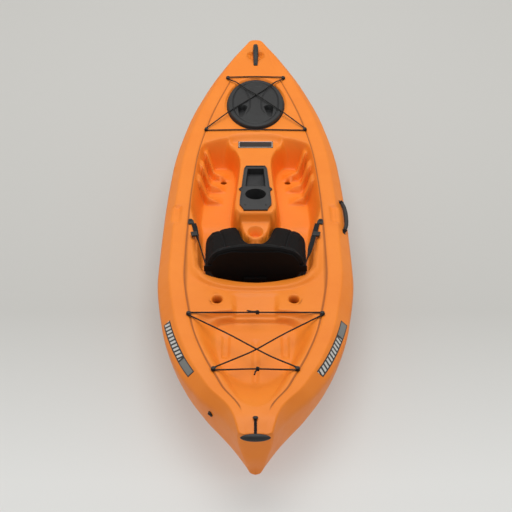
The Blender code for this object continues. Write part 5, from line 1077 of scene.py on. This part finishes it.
# Lashings. Braided shock cord round mushroom buttons, crossed once over the hatch and once over the tankwell.
CORD_R, POST_R, CORD_LEVEL, POST_SCREW = 0.0029, 0.0045, 0.0062, 0.0122
LEAD_STEPS = (0.002, 0.006, 0.016, 0.040)
BUTTONS = {
    ("bow", 1): ((0.1321, 1.1681, 0.3149), (-0.0512, -0.131, 0.9901)),
    ("bow", 3): ((0.2240, 0.7271, 0.2685), (0.0175, -0.0656, 0.9977)),
    ("stern", 1): ((0.2520, -0.7520, 0.2607), (-0.0397, 0.0476, 0.9981)),
    ("stern", 3): ((0.1490, -1.1301, 0.2812), (-0.0178, 0.0602, 0.9980)),
}
BUTTON = [
    (0.0, 0.0003), (0.0088, 0.0003), (0.0092, 0.001), (0.0084, 0.0021), (0.005, 0.0026), (0.0045, 0.0036),
    (0.0045, 0.0088), (0.0052, 0.0098), (0.0084, 0.0104), (0.0091, 0.0112), (0.0089, 0.012), (0.0072, 0.0132),
    (0.005, 0.0134), (0.0046, 0.0128), (0.0, 0.0127),
]
posts = {}
for (end, first), (origin, normal) in BUTTONS.items():
    for number in (first, first + 1):
        node = f"{end}_deck_button_{number}"
        low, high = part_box(node)
        side = 1 if low[0] + high[0] > 0 else -1
        post = frame_at((origin[0] * side, *origin[1:]), (normal[0] * side, *normal[1:]))
        posts[end, first == 1, side] = post
        mesh = turned("fine_" + node, filleted(BUTTON, 0.0006), post, 36)
        piece("fine_" + node, mesh, nylon, "hull", "black_plastic", node)
        screw_at(post @ Matrix.Translation((0, 0, POST_SCREW)))


def lashing(end, fore, over, aft, under):
    """The cord's four runs between its posts, each with half of the turn round the posts at its ends."""
    corners = [posts[end, pair, side] for pair in (True, False) for side in (1, -1)]
    centres = [post @ Vector((0.0, 0.0, CORD_LEVEL)) for post in corners]
    spins = (1, 1, -1, -1)

    def heading(i, spin):
        aim = centres[(i + 1) % 4] - centres[i]
        flat = Vector((aim.x, aim.y)).normalized()
        return math.atan2(-flat.x * spin, flat.y * spin)

    def turn_round(at):
        start = heading(at - 1, spins[at])
        total = (heading(at, spins[at]) - start) * spins[at] % (2 * math.pi)
        turns = [start + spins[at] * total * s / 8 for s in range(9)]
        reach = POST_R + CORD_R
        flat = corners[at].to_3x3()
        return [centres[at] + flat @ Vector((math.cos(t) * reach, math.sin(t) * reach, 0)) for t in turns]

    runs = []
    for i, mid in enumerate((fore, over, aft, under)):
        first, last = turn_round(i)[4:], turn_round((i + 1) % 4)[:5]
        mid = [Vector(p) for p in mid]
        out = [first[-1] + (mid[0] - first[-1]).normalized() * step for step in LEAD_STEPS]
        back = [last[0] + (mid[-1] - last[0]).normalized() * step for step in LEAD_STEPS[::-1]]
        runs.append((first + out + mid + back + last, mid))
    return runs


def cord(name, points, body, *replaced):
    mesh = grown(name, line_mesh(name + "_line", points), cord_tree, Radius=CORD_R, Sides=12, Finish=braid)
    return piece(name, mesh, None, body, "cord", *replaced)


BOW_OVER = [
    (-0.094, 1.121, 0.3222), (-0.04, 1.054, 0.3165), (0.0, 1.0044, 0.3156), (0.045, 0.9487, 0.311),
    (0.118, 0.8582, 0.3022),
]
BOW_UNDER = [
    (-0.118, 0.8582, 0.3022), (-0.045, 0.9487, 0.3073), (0.0, 1.0044, 0.3104), (0.04, 1.054, 0.314),
    (0.094, 1.121, 0.3218),
]
STERN_OVER = [
    (-0.1, -0.8954, 0.2735), (0.0, -0.9895, 0.2755), (0.06, -1.0461, 0.279),
]
STERN_UNDER = [
    (-0.06, -1.0461, 0.278), (0.0, -0.9895, 0.27), (0.1, -0.8954, 0.2705),
]
runs = lashing("bow", [(0.0, 1.1756, 0.3242)], BOW_OVER, [(0.0, 0.7176, 0.2782)], BOW_UNDER)
cord("bow_bungee_fore", smooth_path(runs[0][0], 120), "hull", "bow_bungee")
cord("bow_bungee_aft", smooth_path(runs[2][0], 120), "hull")
for (points, mid), label in ((runs[1], "over"), (runs[3], "under")):
    path = smooth_path(points, 241)
    crossing = min(range(241), key=lambda k: (path[k] - mid[2]).length)
    for half_path, end, edge in ((path[:crossing + 1], "a", mid[0]), (path[:crossing - 1:-1], "b", mid[-1])):
        strand = cord(f"bow_bungee_{label}_{end}", half_path, None)
        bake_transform(strand)
runs = lashing("stern", [(0.0, -0.7500, 0.2708)], STERN_OVER, [(0.0, -1.1300, 0.2872)], STERN_UNDER)
for (points, mid), label in zip(runs, ("fore", "over", "aft", "under")):
    replaced = ["stern_bungee"] if label == "fore" else []
    cord(f"stern_bungee_{label}", smooth_path(points, 150), "hull", *replaced)

# Knots in the cord, each with its cut tail, as (number, run, place across, tail).
KNOTS = ((1, 0, 0.0150, (-0.036, 0.018, -0.004)), (2, 2, 0.0170, (-0.008, -0.030, -0.003)))
KNOT_HALF = 0.006
for number, run_index, knot_x, tail in KNOTS:
    node = f"stern_bungee_knot_{number}"
    low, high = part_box(node)
    cord_middle = runs[run_index][1][0]
    centre = Vector((min(max(knot_x, low[0] + KNOT_HALF), high[0] - KNOT_HALF), cord_middle.y, cord_middle.z))
    points = []
    for s in np.linspace(0.3, 2 * math.pi + 0.1, 34):
        wrap = (0.0052 * math.sin(s) + 0.0010 * s, 0.0060 * math.cos(2 * s), 0.0056 * math.sin(2 * s))
        points.append(centre + Vector(wrap))
    points += [centre + Vector(tail) * t for t in (0.45, 0.75, 1.0)]
    cord(f"fine_{node}", smooth_path(points, 110), "hull", node)

# Console. A grey tray with its gear pocket and cup well, screwed to the spine, and a bare plate ahead of it.
BORDER_IN, BORDER_CORNER, BORDER_R = 0.0035, 0.008, 0.0013
rounded_node("console_tray", grey_tray, "grey_plastic", 0.0011)
packed_screws("console_screw_%d", 2)
rounded_node("console_plate", nylon, "black_plastic", 0.0006, 2)
low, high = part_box("console_plate")
left, right, aft, fore = low[0] + BORDER_IN, high[0] - BORDER_IN, low[1] + BORDER_IN, high[1] - BORDER_IN
border = filleted([(left, aft), (right, aft), (right, fore), (left, fore)], BORDER_CORNER, 5, True)
border = [(x, y, high[2] - SPINE_SLOPE * (high[1] - y)) for x, y in border]
border = line_mesh("border_line", border, True)
mesh = grown("console_plate_border", border, cord_tree, Radius=BORDER_R, Sides=8, Finish=pale)
piece("console_plate_border", mesh, None, "hull", "grey_plastic")

# Screws of the hull, all of one pattern.
head_helper = linked("screw_head_helper", screw_head(SCREW_R, SCREW_T))
spots = line_mesh("screw_places", [])
spots.from_pydata([tuple(place.translation) for place in screw_places], [], [])
aims = [angle for place in screw_places for angle in place.to_euler()]
spots.attributes.new("aim", "FLOAT_VECTOR", "POINT").data.foreach_set("vector", aims)
mesh = grown("screws", spots, screw_tree, Head=head_helper, Finish=steel)
bpy.data.objects.remove(head_helper)
piece("fine_screws", mesh, None, "hull", "steel", *screw_nodes)

# Seat. A foam pad with two thigh lobes, crowned, sewn along two seams and piped round its edge.
PAD_T, PAD_FLOOR, PAD_HALF, PAD_UNDER, CROWN, CUSHION_ROLL = 0.034, 0.1283, 0.206, 0.35, 0.002, 0.34
PAD_SEAM = [(0.158, 0.052), (0.136, -0.050), (0.122, -0.150)]
PAD_FRONT = [
    (0.0, -0.0805), (0.02, -0.0775), (0.035, -0.067), (0.0495, -0.042), (0.059, -0.015), (0.065, 0.01),
    (0.07, 0.034), (0.077, 0.05), (0.09, 0.058), (0.125, 0.051), (0.165, 0.037), (0.19, 0.016),
    (0.203, -0.01), (0.206, -0.045),
]
PAD_AFT = [
    (0.0, -0.385), (0.12, -0.384), (0.155, -0.374), (0.18, -0.35), (0.196, -0.31), (0.206, -0.25),
]
VOXEL, CLOTH_PRESSURE, CLOTH_FRAMES, CLOTH_REACH = 0.005, 4.0, 20, 0.005
SEAM_DEPTH, SEAM_WIDTH, PULL_DEPTH, PULL_WIDTH = 0.0055, 0.0045, 0.0020, 0.016
PIPING_R, STITCH_PITCH, STITCH_R, STITCH_STRETCH = 0.0022, 0.0055, 0.0006, (1.0, 1.0, 2.8)


def padded_sheet(name, plan, outline, thick, floor, under):
    """A cushion over a grid of plan points, round at its edge and crowned."""
    x, y = plan[..., 0], plan[..., 1]
    outline = [np.array(p, float) for p in outline]
    depth = nearest(x, y, outline + outline[:1])
    edge = np.clip(depth / (thick * CUSHION_ROLL), 0, 1)
    swell = np.sqrt(np.clip(1 - (1 - edge) ** 2, 0, 1))
    mid = floor + thick * under
    top = mid + (thick * (1 - under)) * swell + CROWN * ease(depth / 0.09) * edge
    low = mid - thick * under * swell
    grid = np.concatenate([np.stack([x, y, top], 2), np.stack([x, y, low], 2)[:, ::-1]], 1)
    return tidy_mesh(grid_mesh(name, np.concatenate([grid, grid[:, :1]], 1), closed=False), 1e-6)


def stuffed(name, mesh, held_below):
    """The cover blown out by its filling as cloth, held at its back and moved by no more than a reach."""
    helper = linked(name + "_cover", mesh)
    fine = helper.modifiers.new("fine", "REMESH")
    fine.mode = "VOXEL"
    fine.voxel_size = VOXEL
    start = made_from(helper)
    helper.modifiers.remove(fine)
    helper.data = start
    held = helper.vertex_groups.new(name="held")
    held.add([v.index for v in start.vertices if v.co.z < held_below], 1.0, "REPLACE")
    cover = helper.modifiers.new("cover", "CLOTH")
    cover.settings.vertex_group_mass = "held"
    cover.settings.use_pressure = True
    cover.settings.uniform_pressure_force = CLOTH_PRESSURE
    cover.settings.effector_weights.gravity = 0.0
    cover.point_cache.frame_end = CLOTH_FRAMES
    for number in range(1, CLOTH_FRAMES + 1):
        bpy.context.scene.frame_set(number)
    before = np.array([v.co for v in start.vertices])
    move = np.array([v.co for v in made_from(helper).vertices]) - before
    length = np.linalg.norm(move, axis=1, keepdims=True)
    move *= np.minimum(1, CLOTH_REACH / np.maximum(length, 1e-9))
    start.vertices.foreach_set("co", (before + move).ravel())
    helper.modifiers.remove(cover)
    helper.modifiers.new("finer", "SUBSURF").levels = 1
    made = baked(helper)
    bpy.context.scene.frame_set(1)
    made.shade_smooth()
    return made


def sewn(mesh, seams, above):
    """Presses each seam into the face of a cushion."""
    places = np.array([v.co for v in mesh.vertices])
    face = ease((places[:, 2] - above) / 0.008)
    for seam in seams:
        away = nearest(places[:, 0], places[:, 1], [np.array(p, float) for p in seam])
        sunk = SEAM_DEPTH * np.exp(-((away / SEAM_WIDTH) ** 2))
        sunk += PULL_DEPTH * np.exp(-((away / PULL_WIDTH) ** 2))
        places[:, 2] -= sunk * face
    mesh.vertices.foreach_set("co", places.ravel())
    mesh.update()


def skin_tree(mesh):
    return BVHTree.FromPolygons([v.co for v in mesh.vertices], [tuple(p.vertices) for p in mesh.polygons])


def piping(name, points, matrix, body):
    """Piped edge along points, each at least a gap from the one before."""
    kept = [points[0]]
    for point in points[1:]:
        if (point - kept[-1]).length > 0.003:
            kept.append(point)
    line = line_mesh(name + "_line", kept, True)
    mesh = grown(name, line, cord_tree, Radius=PIPING_R, Sides=8, Finish=webbing)
    mesh.transform(matrix)
    return piece(name, mesh, None, body, "webbing")


def stitches(name, cover, seams, matrix, body):
    """Rows of thread in the seams of a cushion, dropped on to its face."""
    skin = skin_tree(cover)
    places, links = [], []
    for seam in seams:
        line = smooth_path([(*p, 0.0) for p in seam], 60)
        hits = [skin.ray_cast(Vector((p.x, p.y, 1.0)), Vector((0.0, 0.0, -1.0)))[0] for p in line]
        line = [hit + Vector((0.0, 0.0, STITCH_R * 0.4)) for hit in hits if hit is not None]
        links += [(len(places) + k, len(places) + k + 1) for k in range(len(line) - 1)]
        places += line
    threads = bpy.data.meshes.new(name)
    threads.from_pydata([tuple(p) for p in places], links, [])
    mesh = grown(name, threads, stitch_tree, Pitch=STITCH_PITCH, Thread=STITCH_R, Stretch=STITCH_STRETCH,
                 Finish=thread)
    mesh.transform(matrix)
    return piece(name, mesh, None, body, "webbing")


def grid_between(front, aft, half, across, down):
    """Plan points between a front and an aft edge, evenly spread by arc near the ends."""
    u = np.sin(np.linspace(-math.pi / 2, math.pi / 2, across)) * 0.35 + np.linspace(-1, 1, across) * 0.65
    x = u * half
    fore = np.interp(np.abs(x), *zip(*front))
    back = np.interp(np.abs(x), *zip(*aft))
    v = np.linspace(0, 1, down)
    v = mix(v, 0.5 - 0.5 * np.cos(v * math.pi), 0.6)
    y = mix(back[:, None], fore[:, None], v[None])
    return np.stack([np.broadcast_to(x[:, None], y.shape), y], 2)


def rounded_outline(half_line):
    """A closed outline from the half of it on one side."""
    return half_line + [(-x, y) for x, y in half_line[-2:0:-1]]


front = [tuple(p) for p in softened(PAD_FRONT)]
back = [tuple(p) for p in softened(PAD_AFT)]
outline = rounded_outline(front + back[::-1])
plan = grid_between(front, back, PAD_HALF, 121, 90)
seams = [[(side * x, y) for x, y in PAD_SEAM] for side in (1, -1)]
mesh = padded_sheet("seat_cushion", plan, outline, PAD_T, PAD_FLOOR, PAD_UNDER)
mesh = stuffed("seat_cushion", mesh, PAD_FLOOR + 0.012)
sewn(mesh, seams, PAD_FLOOR + 0.020)
stitches("seat_stitches", mesh, seams, Matrix(), "hull")
cushion = piece("seat_cushion", mesh, cloth, "hull", "cloth", "seat_pad")
edge_line = [Vector((x, y, PAD_FLOOR + PAD_T * PAD_UNDER)) for x, y in filleted(outline, 0.006, 2, True)]
piping("seat_piping", edge_line, Matrix(), "hull")

# Backrest. A padded panel on a plastic shell that folds about its foot, with a pouch on its back.
BACK_FRAME = Matrix((
    (-1.0, 0.0, 0.0, 0.0), (0.0, -0.2419, 0.9703, -0.3895),
    (0.0, 0.9703, 0.2419, 0.169), (0.0, 0.0, 0.0, 1.0),
))
BACK_T, BACK_UNDER, BACK_HEIGHTS = 0.044, 0.25, (0.003, 0.2415, 80)
BACK_HALF = [
    (0.004, 0.085), (0.03, 0.128), (0.055, 0.152), (0.095, 0.178), (0.135, 0.187), (0.175, 0.181),
    (0.208, 0.158), (0.228, 0.118), (0.24, 0.06),
]
TOP_SEAM = [(-0.11, 0.232), (-0.062, 0.205), (0.062, 0.205), (0.11, 0.232)]
SIDE_SEAM = [(0.150, 0.050), (0.140, 0.120), (0.120, 0.190)]
outline = [(0.0, 0.002)] + [(half, h) for h, half in BACK_HALF] + [(0.0, 0.243)]
outline = rounded_outline([tuple(p) for p in softened(outline)])
heights = np.linspace(*BACK_HEIGHTS)
half_outline = outline[:len(outline) // 2]
halves = np.interp(heights, [p[1] for p in half_outline], [p[0] for p in half_outline])
u = np.linspace(-1, 1, 121)
u = mix(u, np.sin(u * math.pi / 2), 0.5)
plan = np.stack([u[:, None] * halves[None], np.broadcast_to(heights[None], (len(u), len(heights)))], 2)
seams = [TOP_SEAM, SIDE_SEAM, [(-x, y) for x, y in SIDE_SEAM]]
mesh = padded_sheet("backrest_cushion", plan, outline, BACK_T, -BACK_T, BACK_UNDER)
mesh = stuffed("backrest_cushion", mesh, -BACK_T * 0.7)
sewn(mesh, seams, -BACK_T * 0.4)
stitches("backrest_stitches", mesh, seams, BACK_FRAME, "backrest")
mesh.transform(BACK_FRAME)
cushion = piece("backrest_cushion", mesh, cloth, "backrest", "cloth", "backrest_pad")
rounded_node("backrest_shell", back_cloth, "black_plastic", 0.0018)
rounded_node("backrest_pouch", back_cloth, "cloth", 0.0035, 4)
edge_line = [Vector((x, y, -BACK_T * (1 - BACK_UNDER))) for x, y in filleted(outline, 0.01, 2, True)]
piping("backrest_piping", edge_line, BACK_FRAME, "backrest")

# Seat straps. Webbing from a stud on each gunwale, through a ladder buckle, to the backrest's ears.
WEBBING_WIDTH, WEBBING_THICK, WEBBING_SAG, TWIST_RUN = 0.0196, 0.0017, 0.004, 0.42
for label, side, twist_from in (("starboard", 1, 0.43), ("port", -1, 0.02)):
    for node, width in (("strap_anchor", 0.0006), ("strap_clip", 0.0009), ("strap_buckle", 0.0010)):
        rounded_node(f"{node}_{label}", nylon, "black_plastic", width)
    packed = nodes[f"seat_strap_{label}"]
    verts = np.array([packed.matrix_world @ v.co for v in packed.data.vertices])
    order = np.argsort(-verts[:, 1])
    start, end = Vector(verts[order[:4]].mean(0)), Vector(verts[order[-4:]].mean(0))
    run = end - start
    flat = run.normalized().cross(Vector((0, 0, 1))).normalized()
    up = flat.cross(run.normalized())
    line, across = [], []
    for s in np.linspace(0, 1, 70):
        angle = math.radians(90) * float(ease((s - twist_from) / TWIST_RUN)) * side
        line.append(start + run * s - up * WEBBING_SAG * math.sin(math.pi * s))
        across.append(flat * math.cos(angle) + up * math.sin(angle))
    section = band_section(WEBBING_WIDTH, WEBBING_THICK)
    mesh = sweep(f"seat_webbing_{label}", line, section, across=across)
    strap = piece(f"seat_webbing_{label}", mesh, webbing, None, "webbing", f"seat_strap_{label}")
    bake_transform(strap)

# Drain plug, and the foam blocks inside the hull.
rounded_node("drain_plug", nylon, "black_plastic", 0.0007)
FOAM_TRIM, FOAM_LIFT = (0.92, 0.97, 0.96), 0.004
for node in ("stern_foam", "bow_foam"):
    low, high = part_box(node)
    foot = Vector((0.0, (low[1] + high[1]) / 2, low[2] + FOAM_LIFT))
    trim = Matrix.Translation(foot) @ Matrix.Diagonal((*FOAM_TRIM, 1)) @ Matrix.Translation(-foot)
    rounded_node(node, foam, "foam", 0.012, 4).data.transform(trim)

# Side decals. A dark strip with plain slanted pale bars and a grey end lies on each side of the stern.
DECAL_FRONT, DECAL_AFT, DECAL_WIDE, DECAL_LIFT = -0.770, -1.130, 0.034, (0.0002, 0.0006)
DECAL_SHARE, BAR_COUNT, BAR_SLANT, BAR_GAP = (0.56, 0.40), 15, 0.6, 0.42
BARS_END, BAR_HALF, GREY_FROM, GREY_HALF, GREY_END = 0.70, 0.34, 0.73, 0.40, 0.985
decal_ink, tree, shader = node_material("decal_vinyl")
tone = ramp(tree, attribute(tree, "ink"), [
    (0.0, (0.020, 0.020, 0.021)), (0.5, (0.20, 0.20, 0.19)), (1.0, (0.62, 0.61, 0.58)),
])
feed(shader, {"Base Color": tone, "Roughness": 0.35})
along_it, over_it = np.linspace(0, 1, 260), np.linspace(-0.5, 0.5, 25)
stations = mix(DECAL_FRONT, DECAL_AFT, along_it)
upper = np.stack([edge_half(stations), stations, along(EDGE_HEIGHT, stations)], 1)
lower = np.stack([along(SIDE, stations), stations, along(SIDE, stations, 2)], 1)
fall = (lower - upper) / np.linalg.norm(lower - upper, axis=1, keepdims=True)
centre_line = mix(upper, lower, mix(*DECAL_SHARE, along_it)[:, None])
lengthwise, crosswise = along_it[:, None], over_it[None]
bars = (lengthwise * BAR_COUNT + crosswise * BAR_SLANT) % 1.0 > BAR_GAP
ink = np.where(bars & (np.abs(crosswise) < BAR_HALF) & (lengthwise < BARS_END), 1.0, 0.0)
ink = np.where((lengthwise > GREY_FROM) & (np.abs(crosswise) < GREY_HALF), 0.5, ink)
ink = np.where(lengthwise > GREY_END, 0.0, ink)
hull_skin = skin_tree(skin)
for label, side in (("starboard", 1), ("port", -1)):
    layers = np.zeros((2, len(along_it), len(over_it), 3))
    for i, (place, down) in enumerate(zip(centre_line, fall)):
        for j, share in enumerate(over_it):
            seed = Vector(place + down * share * DECAL_WIDE)
            seed.x *= side
            spot, normal = hull_skin.find_nearest(seed)[:2]
            for layer, lift in zip(layers, DECAL_LIFT):
                layer[i, j] = spot + normal * lift
    grid = np.concatenate([layers[0], layers[1][:, ::-1]], 1)
    printed = ink[::-1] if side > 0 else ink
    inks = np.concatenate([printed, printed[:, ::-1]], 1)
    mesh = grid_mesh("side_decal_" + label, grid.transpose(1, 0, 2))
    mesh.attributes.new("ink", "FLOAT", "POINT").data.foreach_set("value", inks.T.ravel())
    piece("side_decal_" + label, tidy_mesh(mesh, 1e-6), decal_ink, "hull", "rubber")

# Studio: a pale floor that runs up into the backdrop, soft light from above and the photograph's camera.
BACKDROP = [(-30.0, -0.001), (9.0, -0.001), (11.0, 0.25), (12.6, 1.1), (13.6, 2.6), (14.0, 5.0), (14.0, 16.0)]
floor_mesh = bpy.data.meshes.new("studio_floor")
corners = [(x, y, z) for y, z in BACKDROP for x in (-20.0, 20.0)]
faces = [(2 * i, 2 * i + 1, 2 * i + 3, 2 * i + 2) for i in range(len(BACKDROP) - 1)]
floor_mesh.from_pydata(corners, [], faces)
floor_mesh.shade_smooth()
paper, tree, shader = node_material("studio_paper")
# The floor glows with painted light, brighter towards the front, which also lifts the kayak's shadow on it.
axes = add(tree, "ShaderNodeSeparateXYZ", add(tree, "ShaderNodeTexCoord").outputs["Object"])
distance = add(tree, "ShaderNodeMapRange", axes.outputs["Y"], From_Min=-2.0, From_Max=3.0)
painted_floor_glow = ramp(tree, distance, [
    (0.0, (0.43, 0.43, 0.425)), (0.12, (0.41, 0.41, 0.40)), (0.33, (0.23, 0.225, 0.21)),
    (1.0, (0.28, 0.272, 0.255)),
])
feed(shader, {
    "Base Color": (0.34, 0.34, 0.33, 1), "Emission Color": painted_floor_glow, "Emission Strength": 1.0, "Roughness": 0.9,
    "Specular IOR Level": 0.1,
})
floor_mesh.materials.append(paper)
floor = linked("studio_floor", floor_mesh)


def area_light(name, place, aim, size, power):
    light = bpy.data.lights.new(name, "AREA")
    light.shape = "RECTANGLE"
    light.size, light.size_y = size
    light.energy = power
    obj = linked(name, light)
    obj.location = place
    obj.rotation_euler = (Vector(aim) - Vector(place)).to_track_quat("-Z", "Y").to_euler()


area_light("overhead", (0.0, 1.1, 5.2), (0.0, 0.3, 0.0), (4.6, 5.6), 218)
area_light("front_left", (-4.5, -3.5, 3.2), (0.0, 0.0, 0.2), (3.0, 3.0), 22)
area_light("front_right", (4.5, -3.5, 3.2), (0.0, 0.0, 0.2), (3.0, 3.0), 22)
world = bpy.data.worlds.new("studio")
world.use_nodes = True
feed(world.node_tree.nodes["Background"], {"Color": (1.0, 1.0, 0.98, 1), "Strength": 0.36})
bpy.context.scene.world = world

CAMERA_PLACE, CAMERA_PITCH = (0.0018, -5.572, 3.568), math.radians(90 - 32.28)
FOCAL_PX, FRAME_PX, SENSOR = 1549.0, 512.0, 36.0
lens = bpy.data.cameras.new("camera")
lens.sensor_width = SENSOR
lens.lens = SENSOR * FOCAL_PX / FRAME_PX
camera = linked("camera", lens)
camera.location = CAMERA_PLACE
camera.rotation_euler = (CAMERA_PITCH, 0.0, 0.0)
bpy.context.scene.camera = camera
bpy.context.scene.view_settings.view_transform = "Standard"
